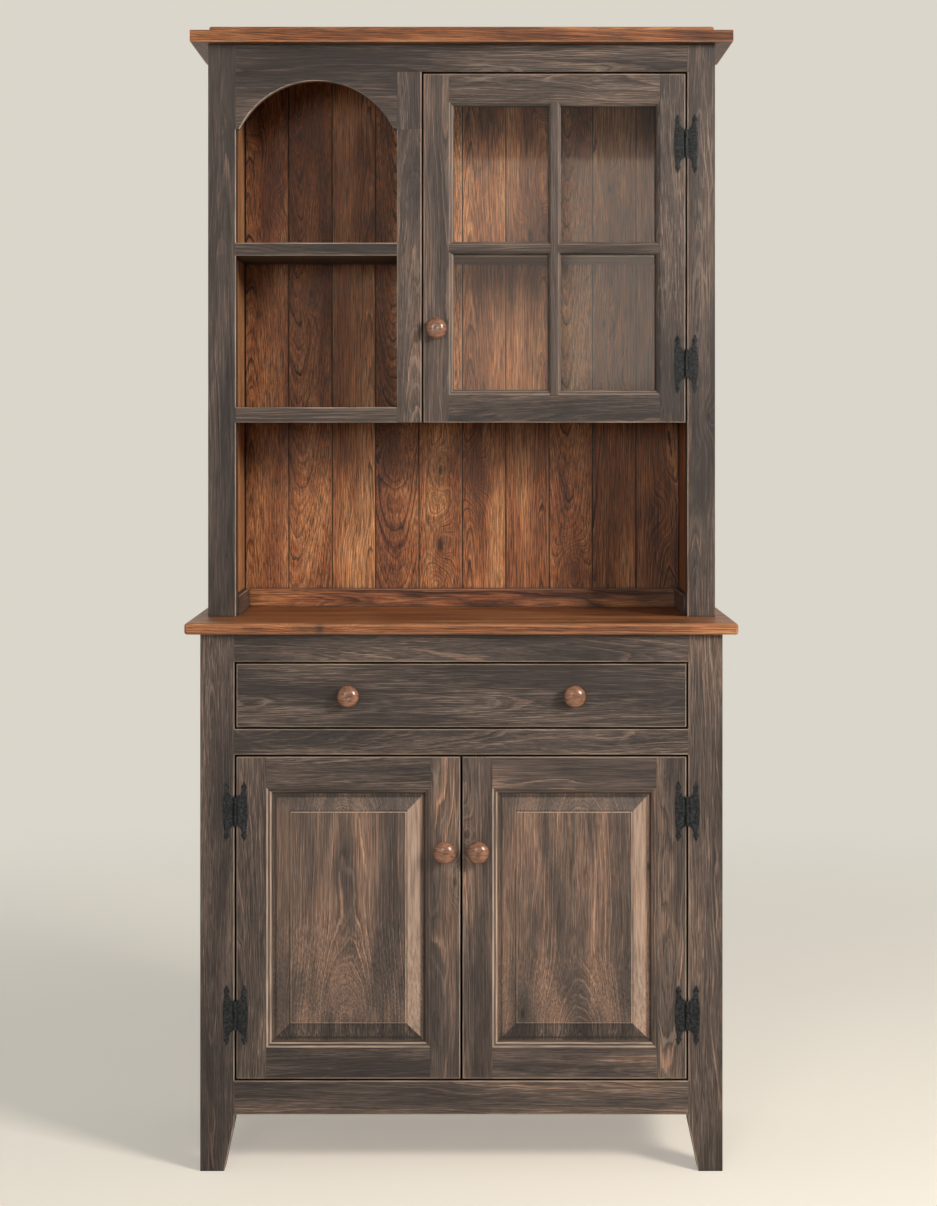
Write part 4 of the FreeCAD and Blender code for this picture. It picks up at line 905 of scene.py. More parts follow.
class Workshop:
    """Makes Blender objects of skins, and keeps one material for each finish."""

    SMOOTH_UP_TO = math.radians(38)

    def __init__(self) -> None:
        """Start with no material made."""
        self.materials: dict[str, bpy.types.Material] = {}

    def material(self, finish: Finish) -> bpy.types.Material:
        """The finish's material, made when it is first asked for."""
        if finish.name not in self.materials:
            self.materials[finish.name] = finish.build()
        return self.materials[finish.name]

    def mount(self, node: str, parts: Sequence[Board | Skin], body: str,
              finish: Finish) -> bpy.types.Object:
        """Make a piece that stands for a node of the frame.

        Args:
            node: The node that it replaces.
            parts: Its boards and its other shells.
            body: The body that it rides on.
            finish: Its finish.

        Returns:
            The new object.
        """
        piece = self.add(node + "_finished", parts, body, finish)
        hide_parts(node)
        return piece

    def add(self, name: str, parts: Sequence[Board | Skin], body: str,
            finish: Finish) -> bpy.types.Object:
        """Make a piece that rides on a body and takes its finish's material."""
        skin = gathered([part.skin() if isinstance(part, Board) else part for part in parts])
        mesh = bpy.data.meshes.new(name)
        faces = skin.quads.tolist() + [cap.tolist() for cap in skin.caps]
        mesh.from_pydata(skin.points, [], faces)
        for part in ("grain", "eye"):
            values = mesh.attributes.new(part, "FLOAT_VECTOR", "POINT").data
            values.foreach_set("vector", getattr(skin, part).ravel())
        for part in ("wear_and_light", "tone", "bow"):
            values = mesh.attributes.new(part, "FLOAT", "POINT").data
            values.foreach_set("value", getattr(skin, part))
        mesh.shade_smooth()
        mesh.set_sharp_from_angle(angle=self.SMOOTH_UP_TO)
        mesh.materials.append(self.material(finish))
        piece = bpy.data.objects.new(name, mesh)
        bpy.context.scene.collection.objects.link(piece)
        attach(piece, body)
        LOG.info("%s: %d faces on %s", name, len(faces), body)
        return piece

    def mount_board(self, node: str, body: str, finish: Finish, along: Axis, **looks: object) -> None:
        """Make a piece that is one board as large as its node."""
        self.mount(node, [Board(node, *corners(node), along, **looks)], body, finish)

    def finish_node(self, frame: dict, node: str, finish: Finish) -> None:
        """Give a node that stays as it is its finish."""
        mesh = frame["nodes"][node].data
        mesh.materials.clear()
        mesh.materials.append(self.material(finish))
        LOG.info("%s: kept, %s", node, finish.name)


# ---------------------------------------------------------------- the cases

@dataclass(frozen=True)
class Places:
    """Faces and heights that several sub-assemblies share, read from the frame."""

    half: float
    face: float
    back: float
    base_jamb: float
    base_top: float
    hutch_face: float
    hutch_jamb: float
    hutch_top: float
    counter_top: float
    side_front: float
    side_back: float
    wall: float
    panel_outer: float
    side_outer: float
    board_face: float
    board_back: float
    rail_bottom: float
    door_sill: float
    door_head: float
    drawer_sill: float
    drawer_head: float
    hutch_head: float
    rail_thickness: float

    @classmethod
    def of_frame(cls) -> "Places":
        """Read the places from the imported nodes' boxes."""
        post_low, post_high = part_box("base_post_front_right")
        hutch_low, hutch_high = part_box("hutch_post_front_right")
        _, panel_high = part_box("base_side_panels")
        boards_low, boards_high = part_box("hutch_back_boards")
        top_rail_low, top_rail_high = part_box("base_top_rail")
        mid_low, mid_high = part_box("base_mid_rail")
        bottom_low, bottom_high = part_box("base_bottom_rail")
        hutch_rail_low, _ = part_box("hutch_top_rail")
        _, side_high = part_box("base_side_rails")
        return cls(
            half=post_high[0], face=post_low[1], back=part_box("countertop")[1][1], base_jamb=post_low[0],
            base_top=post_high[2], hutch_face=hutch_low[1], hutch_jamb=hutch_low[0],
            hutch_top=hutch_high[2], counter_top=hutch_low[2], side_front=post_high[1],
            side_back=panel_high[1], wall=boards_high[0], panel_outer=panel_high[0],
            side_outer=side_high[0], board_face=boards_low[1], board_back=boards_high[1],
            rail_bottom=bottom_low[2], door_sill=bottom_high[2], door_head=mid_low[2],
            drawer_sill=mid_high[2], drawer_head=top_rail_low[2], hutch_head=hutch_rail_low[2],
            rail_thickness=top_rail_high[1] - top_rail_low[1])


def mirrored(low: Corner, high: Corner, side: int) -> tuple[Corner, Corner]:
    """A box on the right, or its mirror image on the left for side -1."""
    if side > 0:
        return low, high
    return (-high[0], low[1], low[2]), (-low[0], high[1], high[2])


def corners(node: str) -> tuple[Corner, Corner]:
    """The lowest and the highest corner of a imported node."""
    low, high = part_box(node)
    return tuple(low), tuple(high)


def pair(label: str, near: Corner, far: Corner, along: Axis, **looks: object) -> list[Board]:
    """A board on each side, the left one first, given by its corners on the right."""
    return [Board(f"{label} {side}", *mirrored(near, far, side), along, **looks) for side in (-1, 1)]


@dataclass
class BackBoards:
    """Upright boards side by side, with a V at each joint.

    An eye is (height, across from the board's middle, strength), for boards that have a knot in
    plain view.
    """

    count: int = 10
    bevel: float = 0.0014
    back_ease: float = 0.0008
    tones: Sequence[float] = ()
    eyes: Sequence[tuple[float, float, float]] = ()

    def boards(self, label: str, low: Corner, high: Corner) -> list[Board]:
        """The boards that fill the space between two corners."""
        width = (high[0] - low[0]) / self.count
        arrises = {FRONT_LEFT: self.bevel, FRONT_RIGHT: self.bevel,
                   BACK_LEFT: self.back_ease, BACK_RIGHT: self.back_ease}
        # Each V's right-facing arris is bare wood as a painted highlight; its left-facing arris and the
        # back arrises take the dark dirt colour, partly dirt in the joint and partly painted shade.
        rubbed = {FRONT_LEFT: -1.0, FRONT_RIGHT: 0.55, BACK_LEFT: -1.0, BACK_RIGHT: -0.5}
        boards = []
        for number in range(self.count):
            ends = ((low[0] + width * number, low[1], low[2]),
                    (low[0] + width * (number + 1), high[1], high[2]))
            chosen: dict[str, object] = {}
            if self.tones:
                chosen["tone"] = self.tones[number]
                height, across, strength = self.eyes[number]
                chosen["eye"] = (height - (low[2] + high[2]) / 2, across, strength)
            log = Log.sawn(f"{label} {number}", *ends, Axis.Z, **chosen)
            boards.append(Board(label, *ends, Axis.Z, rounds=arrises, rubbed=rubbed, log=log))
        return boards


@dataclass
class BaseCase:
    """The lower case: tapered posts, rails, panelled sides, floor, shelf, back and counter."""

    places: Places
    arris: float = 0.0011
    rub: float = 0.74
    soft_rub: float = 0.6
    back_rub: float = 0.3
    counter_rub: float = 0.45
    counter_end_rub: float = 0.2
    side_ease: float = 0.0010
    shelf_round: float = 0.0015
    foot_taper: float = 0.017
    foot_taper_height: float = 0.080
    back_post_depth: float = 0.032
    side_rail_height: float = 0.070
    floor_thickness: float = 0.016
    shelf_rise: float = 0.265
    shelf_thickness: float = 0.018
    shelf_depth: float = 0.290
    cleat: float = 0.020
    back_rail_thickness: float = 0.018
    counter_round: float = 0.0045

    def build(self, shop: Workshop) -> None:
        """Make the lower case's pieces."""
        self.posts(shop)
        self.rails(shop)
        self.sides(shop)
        self.inside(shop)
        self.counter(shop)

    def post(self, label: str, side: int, low_y: float, high_y: float, front: bool) -> Board:
        """A post whose foot tapers on its inner edge."""
        place = self.places
        low, high = mirrored((place.base_jamb, low_y, 0.0), (place.half, high_y, place.base_top), side)
        inner, outer = side * place.base_jamb, side * place.half
        foot = side * (place.base_jamb + self.foot_taper)
        knots = [(where, min(edge, outer), max(edge, outer)) for where, edge in
                 ((0.0, foot), (self.foot_taper_height, inner), (place.base_top, inner))]
        arris = FRONT_LEFT if side > 0 else FRONT_RIGHT
        stretches = [(0.0, place.rail_bottom), (place.door_sill, place.door_head),
                     (place.drawer_sill, place.drawer_head)]
        return Board(label, low, high, Axis.Z, rounds={arris: self.arris},
                     rubbed={arris: self.rub if front else self.back_rub}, stretches=stretches,
                     knots=knots)

    def posts(self, shop: Workshop) -> None:
        """Four posts; the front pair's arrises are rubbed along the openings."""
        place = self.places
        for side, name in ((-1, "left"), (1, "right")):
            node = f"base_post_front_{name}"
            post = self.post(node, side, place.face, place.side_front, True)
            shop.mount(node, [post], "cabinet", CHARCOAL)
        backs = [self.post(f"back post {side}", side, place.back - self.back_post_depth, place.back, False)
                 for side in (-1, 1)]
        shop.mount("base_posts_back", backs, "cabinet", CHARCOAL)

    def rails(self, shop: Workshop) -> None:
        """Three front rails, flush between the posts."""
        place = self.places
        for node, low_z, high_z, rubbed in (
                ("base_top_rail", place.drawer_head, place.base_top, {FRONT_BOTTOM: self.rub}),
                ("base_mid_rail", place.door_head, place.drawer_sill,
                 {FRONT_BOTTOM: self.rub, FRONT_TOP: self.rub}),
                ("base_bottom_rail", place.rail_bottom, place.door_sill,
                 {FRONT_TOP: self.rub, FRONT_BOTTOM: self.soft_rub})):
            rail = Board(node, (-place.base_jamb, place.face, low_z),
                         (place.base_jamb, place.face + place.rail_thickness, high_z), Axis.X,
                         rounds={arris: self.arris for arris in rubbed}, rubbed=rubbed,
                         end_ease=HAIRLINE)
            shop.mount(node, [rail], "cabinet", CHARCOAL)

    def sides(self, shop: Workshop) -> None:
        """Rails and a flat panel between the posts on each side."""
        place = self.places
        panel_low = place.rail_bottom + self.side_rail_height
        panel_high = place.base_top - self.side_rail_height
        rails = []
        for side in (-1, 1):
            for low_z, high_z in ((place.rail_bottom, panel_low), (panel_high, place.base_top)):
                ends = mirrored((place.wall, place.side_front, low_z),
                                (place.side_outer, place.side_back, high_z), side)
                rails.append(Board(f"base side rail {side} {low_z}", *ends, Axis.Y,
                                   ease=self.side_ease, end_ease=HAIRLINE))
        panels = pair("base side panel", (place.wall, place.side_front, panel_low),
                      (place.panel_outer, place.side_back, panel_high), Axis.Z, end_ease=HAIRLINE)
        shop.mount("base_side_rails", rails, "cabinet", CHARCOAL)
        shop.mount("base_side_panels", panels, "cabinet", CHARCOAL)

    def inside(self, shop: Workshop) -> None:
        """Floor, shelf, cleats, back rails and back boards."""
        place = self.places
        jamb, wall, deep = place.base_jamb, place.wall, place.board_face
        front, back, sill = place.side_front, place.side_back, place.door_sill
        floor_low, shelf_low = sill - self.floor_thickness, sill + self.shelf_rise
        shelf_high, rail_back = shelf_low + self.shelf_thickness, place.face + place.rail_thickness
        rail_face = deep - self.back_rail_thickness
        pieces = {
            "base_floor_board": [
                Board("base floor", (-wall, front, floor_low), (wall, back, sill), Axis.X),
                Board("base floor front", (-jamb, rail_back, floor_low), (jamb, front, sill), Axis.X)],
            "base_shelf": [
                Board("base shelf", (-wall, deep - self.shelf_depth, shelf_low), (wall, back, shelf_high),
                      Axis.X, rounds={FRONT_TOP: self.shelf_round, FRONT_BOTTOM: self.shelf_round},
                      rubbed={FRONT_TOP: self.soft_rub}),
                Board("base shelf tail", (-jamb, back, shelf_low), (jamb, deep, shelf_high), Axis.X)],
            "base_cleats": [
                Board(f"cleat {side} {top}", *mirrored((wall - self.cleat, front, top - self.cleat),
                                                       (wall, back - self.cleat, top), side), Axis.Y)
                for side in (-1, 1) for top in (floor_low, shelf_low)],
            "base_back_rails": [
                Board(f"back rail {low_z}", (-jamb, rail_face, low_z), (jamb, deep, high_z), Axis.X)
                for low_z, high_z in ((place.rail_bottom, sill), (place.drawer_head, place.base_top))],
            "base_back_boards": BackBoards().boards("base back board", (-jamb, deep, place.rail_bottom),
                                                    (jamb, place.board_back, place.base_top))}
        for node, boards in pieces.items():
            shop.mount(node, boards, "cabinet", PLAIN)

    def counter(self, shop: Workshop) -> None:
        """The counter: one wide board with rounded front and ends."""
        shop.mount_board("countertop", "cabinet", WALNUT, Axis.X,
                         rounds={FRONT_TOP: self.counter_round, FRONT_BOTTOM: self.counter_round},
                         rubbed={FRONT_TOP: self.counter_rub, FRONT_BOTTOM: self.counter_rub},
                         end_ease=self.counter_round, end_wear=self.counter_end_rub)


@dataclass
class HutchCase:
    """The upper case: posts, rails, arch, shelves, backboards, partition, top and crown."""

    places: Places
    arris: float = 0.0011
    rub: float = 0.95
    soft_rub: float = 0.6
    side_rail_height: float = 0.034
    side_rail_proud: float = 0.009
    back_rail_height: float = 0.033
    back_rail_thickness: float = 0.018
    stile_share: float = 0.6        # how much of the rub the stile's left arris takes
    cleat_round: float = 0.0010
    cleat_rub: float = 0.75
    back_rail_round: float = 0.0012
    top_round: float = 0.003
    top_rub: float = 0.3
    arch_shoulder: float = 0.006
    arch_rise: float = 0.084
    arch_steps: int = 49
    arch_back_share: float = 0.3    # size of the curve's rear arris over that of its front one
    arch_rub_and_light: float = 0.55          # of the rub over the arch's middle; more to its left, which faces the light, as a painted highlight
    arch_shaded_rub: float = 0.25    # what is left of it on the right, which faces away from the light
    crown_overhang: float = 0.029
    crown_ease: float = 0.0018
    crown_rubs: Stretch = (0.7, 0.3)    # of its lower and its upper arris
    stop_width: float = 0.016
    stop_thickness: float = 0.008
    board_tones: Sequence[float] = (0.18, 0.15, 0.30, 0.20, 0.38, 0.22, 0.20, 0.24, 0.22, 0.14)
    board_eyes: Sequence[tuple[float, float, float]] = (
        (1.66, 0.010, 0.8), (1.20, 0.0, 0.0), (1.10, 0.0, 0.5), (1.20, -0.004, 0.9), (1.035, 0.0, 1.0),
        (1.16, -0.012, 0.9), (1.60, 0.006, 1.0), (0.985, 0.004, 0.9), (1.35, 0.0, 0.6), (1.10, 0.012, 0.5))

    def build(self, shop: Workshop) -> None:
        """Make the upper case's pieces."""
        self.shelf_low, self.shelf_high = corners("hutch_bottom_shelf")
        self.middle_low, self.middle_high = corners("hutch_shelf_left")
        self.stile_low, self.stile_high = corners("hutch_mid_stile")
        self.arch_low, self.arch_high = corners("hutch_arch_board")
        self.partition_low, self.partition_high = corners("hutch_partition")
        self.posts(shop)
        self.front(shop)
        self.arch(shop)
        self.sides(shop)
        self.shelves(shop)
        self.back(shop)
        self.top(shop)

    def posts(self, shop: Workshop) -> None:
        """Two front posts, rubbed along the openings, and two back posts."""
        place = self.places
        openings = {-1: [(place.counter_top, self.shelf_low[2]), (self.shelf_high[2], self.middle_low[2]),
                         (self.middle_high[2], self.arch_low[2])],
                    1: [(place.counter_top, self.shelf_low[2]), (self.shelf_low[2], place.hutch_head)]}
        for side, name in ((-1, "left"), (1, "right")):
            node = f"hutch_post_front_{name}"
            low, high = mirrored((place.hutch_jamb, place.hutch_face, place.counter_top),
                                 (place.half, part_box(node)[1][1], place.hutch_top), side)
            inner = FRONT_LEFT if side > 0 else FRONT_RIGHT
            post = Board(node, low, high, Axis.Z, rounds={inner: self.arris}, rubbed={inner: self.rub},
                         stretches=openings[side], end_ease=HAIRLINE)
            shop.mount(node, [post], "cabinet", CHARCOAL)
        backs = pair("hutch back post", (place.wall, place.side_back, place.counter_top),
                     (place.half, place.back, place.hutch_top), Axis.Z)
        shop.mount("hutch_posts_back", backs, "cabinet", CHARCOAL)

    def front(self, shop: Workshop) -> None:
        """The top rail, the stile between the bays and the glazed door, and that door's stop."""
        place = self.places
        rail = Board("hutch_top_rail", (-place.hutch_jamb, place.hutch_face, place.hutch_head),
                     (place.hutch_jamb, place.hutch_face + place.rail_thickness, place.hutch_top), Axis.X,
                     end_ease=HAIRLINE)
        shop.mount("hutch_top_rail", [rail], "cabinet", CHARCOAL)
        low, high = self.stile_low, self.stile_high
        spring = self.arch_low[2]
        stretches = [(self.shelf_high[2], self.middle_low[2]), (self.middle_high[2], spring)]
        by_door = {FRONT_RIGHT: self.arris}
        stile = Board("hutch_mid_stile", low, (high[0], high[1], spring), Axis.Z,
                      rounds={FRONT_LEFT: self.arris} | by_door,
                      rubbed={FRONT_LEFT: self.rub * self.stile_share, FRONT_RIGHT: self.rub},
                      stretches=stretches, whole=(FRONT_RIGHT,), end_ease=HAIRLINE)
        head = Board("stile head", (low[0], low[1], spring), high, Axis.Z, rounds=by_door,
                     rubbed={FRONT_RIGHT: self.rub}, end_ease=HAIRLINE)
        shop.mount("hutch_mid_stile", [stile, head], "cabinet", CHARCOAL)
        half = self.stop_width / 2
        lap = Board("lock stop", (high[0] - half, high[1] + STAND_OFF, self.shelf_high[2]),
                    (high[0] + half, high[1] + self.stop_thickness, place.hutch_head), Axis.Z)
        shop.add("glass_door_lock_stop", [lap], "cabinet", CHARCOAL)

    def arch(self, shop: Workshop) -> None:
        """The arch board: sections carried round the arch, from its curve out to its square edges.

        The curve is P(a) = C + r*(cos a, sin a). Each section runs from P out along the same ray
        to the board's edge; the first and last sections end at the board's lower corners.
        """
        low, high = self.arch_low, self.arch_high
        middle = (low[0] + high[0]) / 2
        chord = high[0] - low[0] - 2 * self.arch_shoulder
        radius = (chord ** 2 / 4 + self.arch_rise ** 2) / (2 * self.arch_rise)
        centre_z = low[2] + self.arch_rise - radius
        reach = math.atan2(low[2] - centre_z, chord / 2)
        to_corner = math.atan2(high[2] - centre_z, high[0] - middle)
        angle = np.sort(np.append(np.linspace(math.pi - reach, reach, self.arch_steps),
                                  [math.pi - to_corner, to_corner]))[::-1]
        ray = np.stack([np.cos(angle), np.sin(angle)], axis=1)
        span = np.minimum((high[0] - middle) / np.maximum(np.abs(ray[:, 0]), 1e-6),
                          (high[2] - centre_z) / ray[:, 1])
        edge = np.array([middle, centre_z]) + ray * span[:, None]
        edge[0] = (low[0], low[2])
        edge[-1] = (high[0], low[2])
        bend, back = self.arris, self.arch_back_share
        turn = np.linspace(0, math.pi / 2, 5)
        out = np.concatenate([[bend + FADE], bend * (1 - np.sin(turn)), bend * (1 - np.cos(turn)) * back,
                              [FADE]])
        deep = np.concatenate([[0.0], bend * (1 - np.cos(turn)), high[1] - low[1] - back * bend
                               + back * bend * np.sin(turn), [high[1] - low[1]]])
        wear_and_light = np.concatenate([[0.0, 0.0], np.full(5, self.rub), np.zeros(6), [0.0]])
        rings = np.empty((len(angle), len(out) + 2, 3))
        rings[:, 1:-1, 0] = middle + ray[:, :1] * (radius + out)
        rings[:, 1:-1, 2] = centre_z + ray[:, 1:] * (radius + out)
        rings[:, 1:-1, 1] = low[1] + deep
        for ring_place, depth in ((0, low[1]), (-1, high[1])):
            rings[:, ring_place, 0] = edge[:, 0]
            rings[:, ring_place, 2] = edge[:, 1]
            rings[:, ring_place, 1] = depth
        log = Log.sawn("hutch_arch_board", low, high, Axis.X)
        # Painted light: the arch's rubbed arris is lighter on its left, which faces the light, and darker
        # on its right.
        lit_share = np.clip(self.arch_rub_and_light - ray[:, :1], self.arch_shaded_rub, 1.0)
        shop.mount("hutch_arch_board", [log.mark(tube(rings, lit_share * wear_and_light))], "cabinet", CHARCOAL)

    def sides(self, shop: Workshop) -> None:
        """Side rails; the lower ones stand proud inside as cleats on the counter. Side panels."""
        place = self.places
        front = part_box("hutch_side_panels")[0][1]
        panel_low = place.counter_top + self.side_rail_height
        rails = []
        for side in (-1, 1):
            low_ends = mirrored((place.wall - self.side_rail_proud, front, place.counter_top),
                                (place.side_outer, place.side_back, panel_low), side)
            high_ends = mirrored((place.wall, front, place.hutch_head),
                                 (place.side_outer, place.side_back, place.hutch_top), side)
            inner_top = (Side.LEFT if side > 0 else Side.RIGHT, Side.TOP)
            rails += [Board(f"hutch low side rail {side}", *low_ends, Axis.Y,
                            rounds={inner_top: self.cleat_round}, rubbed={inner_top: self.cleat_rub},
                            end_ease=HAIRLINE),
                      Board(f"hutch high side rail {side}", *high_ends, Axis.Y, end_ease=HAIRLINE)]
        panels = pair("hutch side panel", (place.wall, front, panel_low),
                      (place.panel_outer, place.side_back, place.hutch_head), Axis.Z, end_ease=HAIRLINE)
        shop.mount("hutch_side_rails", rails, "cabinet", CHARCOAL)
        shop.mount("hutch_side_panels", panels, "cabinet", WALNUT)

    def shelves(self, shop: Workshop) -> None:
        """The bottom shelf and the two middle shelves, with rubbed front edges."""
        place = self.places
        front, rail_back = place.hutch_face, place.hutch_face + place.rail_thickness
        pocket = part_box("hutch_shelf_right")[0][1]
        both = {FRONT_TOP: self.arris, FRONT_BOTTOM: self.arris}
        rubbed = {FRONT_TOP: self.rub, FRONT_BOTTOM: self.soft_rub}
        stile_left, stile_right = self.stile_low[0], self.stile_high[0]
        jamb, wall = place.hutch_jamb, place.wall
        side_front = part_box("hutch_side_panels")[0][1]
        deep, left, right = place.board_face, self.partition_low[0], self.partition_high[0]
        boards = {      # (left, front, right, back) of each part, the rubbed front edge first
            "hutch_bottom_shelf": [
                (-jamb, front, stile_left, rail_back), (stile_right, pocket, jamb, side_front),
                (-jamb, rail_back, stile_right, side_front), (-wall, side_front, wall, deep)],
            "hutch_shelf_left": [
                (-jamb, front, stile_left, rail_back), (-jamb, rail_back, left, side_front),
                (-wall, side_front, left, deep)],
            "hutch_shelf_right": [
                (right, pocket, jamb, side_front), (right, side_front, wall, deep)]}
        for node, parts in boards.items():
            low, high = corners(node)
            log = Log.sawn(node, low, high, Axis.X)
            pieces = [Board(node, (x, y, low[2]), (end_x, end_y, high[2]), Axis.X, ease=HAIRLINE,
                            rounds={} if number else both, rubbed={} if number else rubbed,
                            end_ease=HAIRLINE, log=log)
                      for number, (x, y, end_x, end_y) in enumerate(parts)]
            shop.mount(node, pieces, "cabinet", CHARCOAL)

    def back(self, shop: Workshop) -> None:
        """Backboards, the rail at their foot and the partition."""
        place = self.places
        boards = BackBoards(tones=self.board_tones, eyes=self.board_eyes).boards(
            "hutch back board", (-place.wall, place.board_face, place.counter_top),
            (place.wall, place.board_back, place.hutch_top))
        shop.mount("hutch_back_boards", boards, "cabinet", WALNUT)
        rail_end = place.wall - self.side_rail_proud
        rail = Board("hutch_back_rail",
                     (-rail_end, place.board_face - self.back_rail_thickness, place.counter_top),
                     (rail_end, place.board_face, place.counter_top + self.back_rail_height), Axis.X,
                     rounds={FRONT_TOP: self.back_rail_round}, rubbed={FRONT_TOP: self.soft_rub},
                     end_ease=HAIRLINE)
        shop.mount("hutch_back_rail", [rail], "cabinet", WALNUT)
        shop.mount_board("hutch_partition", "cabinet", WALNUT, Axis.Z)

    def top(self, shop: Workshop) -> None:
        """The top board, and the crown mitred round the front and sides."""
        place = self.places
        shop.mount_board("hutch_top_board", "cabinet", WALNUT, Axis.X, rounds={FRONT_TOP: self.top_round},
                         rubbed={FRONT_TOP: self.top_rub}, end_ease=self.top_round)
        low, high = corners("crown_front")
        bottom, height = low[2], high[2] - low[2]
        section, wear_and_light = self.crown_section(height)
        log = Log.sawn("crown_front", low, high, Axis.X)
        front = Strip(section, wear_and_light, Axis.X, place.hutch_face, -1, bottom, -place.half, place.half,
                      -1.0, -1.0, through=Axis.Z)
        shop.mount("crown_front", [front.skin(log)], "cabinet", WALNUT)
        sides = []
        for side in (-1, 1):
            near, far = mirrored((place.half, place.hutch_face - self.crown_overhang, bottom),
                                 (place.half + self.crown_overhang, place.back, bottom + height), side)
            log = Log.sawn(f"crown side {side}", near, far, Axis.Y)
            strip = Strip(section, wear_and_light, Axis.Y, side * place.half, side, bottom, place.hutch_face,
                          place.back, -1.0, 0.0, through=Axis.Z)
            sides.append(strip.skin(log))
        shop.mount("crown_sides", sides, "cabinet", WALNUT)

    def crown_section(self, height: float) -> tuple[np.ndarray, np.ndarray]:
        """The crown's section: a slab whose two outer arrises are eased, as (out, up), and its wear."""
        ease, out, top = self.crown_ease, self.crown_overhang, height
        turn = np.linspace(0, math.pi / 2, 4)
        lower = np.column_stack([out - ease + ease * np.sin(turn), ease - ease * np.cos(turn)])
        upper = np.column_stack([out - ease + ease * np.cos(turn), top - ease + ease * np.sin(turn)])
        section = np.vstack([[0, 0], [out - ease - FADE, 0], lower, [out, ease + FADE],
                             [out, top - ease - FADE], upper, [out - ease - FADE, top], [0, top]])
        lower_rub, upper_rub = self.crown_rubs
        wear_and_light = np.concatenate([[0, 0], np.full(4, lower_rub), [0, 0], np.full(4, upper_rub), [0, 0]])
        return section, wear_and_light


# ---------------------------------------------------------------- drawer, doors, knobs, hinges

@dataclass
class Knob:
    """A turned mushroom knob: a flared foot, a coved neck and a domed cap with a dimple."""

    reach: float = 0.030
    cap_radius: float = 0.0185
    neck_radius: float = 0.0070
    foot_radius: float = 0.0105
    neck_length: float = 0.0135
    rim_place: float = 0.0190
    collar: float = 0.0010          # how far the cap's root stands out from the neck
    flare: float = 1.35             # how soon the foot's flare is over
    dimple: float = 0.0011
    dimple_radius: float = 0.0055
    dimple_dark: float = 0.55

    def skin(self, centre: Corner) -> Skin:
        """The knob's shell on a face that looks to the front.

        The neck's radius is a parabola between foot and cap. The cap is two quarter ellipses, one
        under the rim and one over it, less a bell-shaped dimple at the middle.
        """
        share = np.linspace(0, 1, 10)
        foot = self.foot_radius - self.neck_radius
        neck = np.column_stack([self.neck_radius + foot * (1 - share * self.flare) ** 2,
                                share * self.neck_length])
        angle = np.linspace(math.pi / 2, 0, 9)
        under = np.column_stack([self.neck_radius + self.collar
                                 + (self.cap_radius - self.neck_radius - self.collar) * np.cos(angle),
                                 self.rim_place - (self.rim_place - self.neck_length) * np.sin(angle)])
        angle = np.linspace(0, math.pi / 2 - 0.012, 26)[1:]
        over = np.column_stack([self.cap_radius * np.cos(angle),
                                self.rim_place + (self.reach - self.rim_place) * np.sin(angle)])
        over[:, 1] -= self.dimple * np.exp(-(over[:, 0] / self.dimple_radius) ** 2)
        profile = np.vstack([[[self.foot_radius, 0.0]], neck, under, over])
        dark = np.concatenate([np.zeros(len(profile) - len(over)),
                               self.dimple_dark * np.exp(-(over[:, 0] / self.dimple_radius) ** 2)])
        size = [self.cap_radius] * 3
        log = Log.sawn(f"knob {centre[0]:.3f}", tuple(np.subtract(centre, size)),
                       tuple(np.add(centre, size)), Axis.Y)
        return log.mark(turned(profile * [1, -1], centre, Axis.Y, dark))


@dataclass
class Drawer:
    """The drawer: a front with eased edges, two sides, a back and a bottom, and two knobs."""

    arris: float = 0.0010
    rub: float = 0.7
    side_ease: float = 0.001

    def build(self, shop: Workshop) -> None:
        """Make the drawer's pieces."""
        shop.mount_board("drawer_front", "drawer", CHARCOAL, Axis.X,
                         rounds={FRONT_TOP: self.arris, FRONT_BOTTOM: self.arris},
                         rubbed={FRONT_TOP: self.rub, FRONT_BOTTOM: self.rub}, end_ease=self.arris,
                         end_wear=self.rub)
        low, high = corners("drawer_sides")
        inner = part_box("drawer_back")[1][0]
        shop.mount("drawer_sides", pair("drawer side", (inner, low[1], low[2]), high, Axis.Y,
                                        ease=self.side_ease), "drawer", PLAIN)
        shop.mount_board("drawer_back", "drawer", PLAIN, Axis.X, ease=self.side_ease)
        shop.mount_board("drawer_bottom", "drawer", PLAIN, Axis.X)
        low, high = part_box("drawer_knobs")
        spread = (high[0] - low[0]) / 2 - Knob.cap_radius
        face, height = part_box("drawer_front")[0][1], (low[2] + high[2]) / 2
        knobs = [Knob().skin((side * spread, face, height)) for side in (-1, 1)]
        shop.mount("drawer_knobs", knobs, "drawer", KNOB_WOOD)


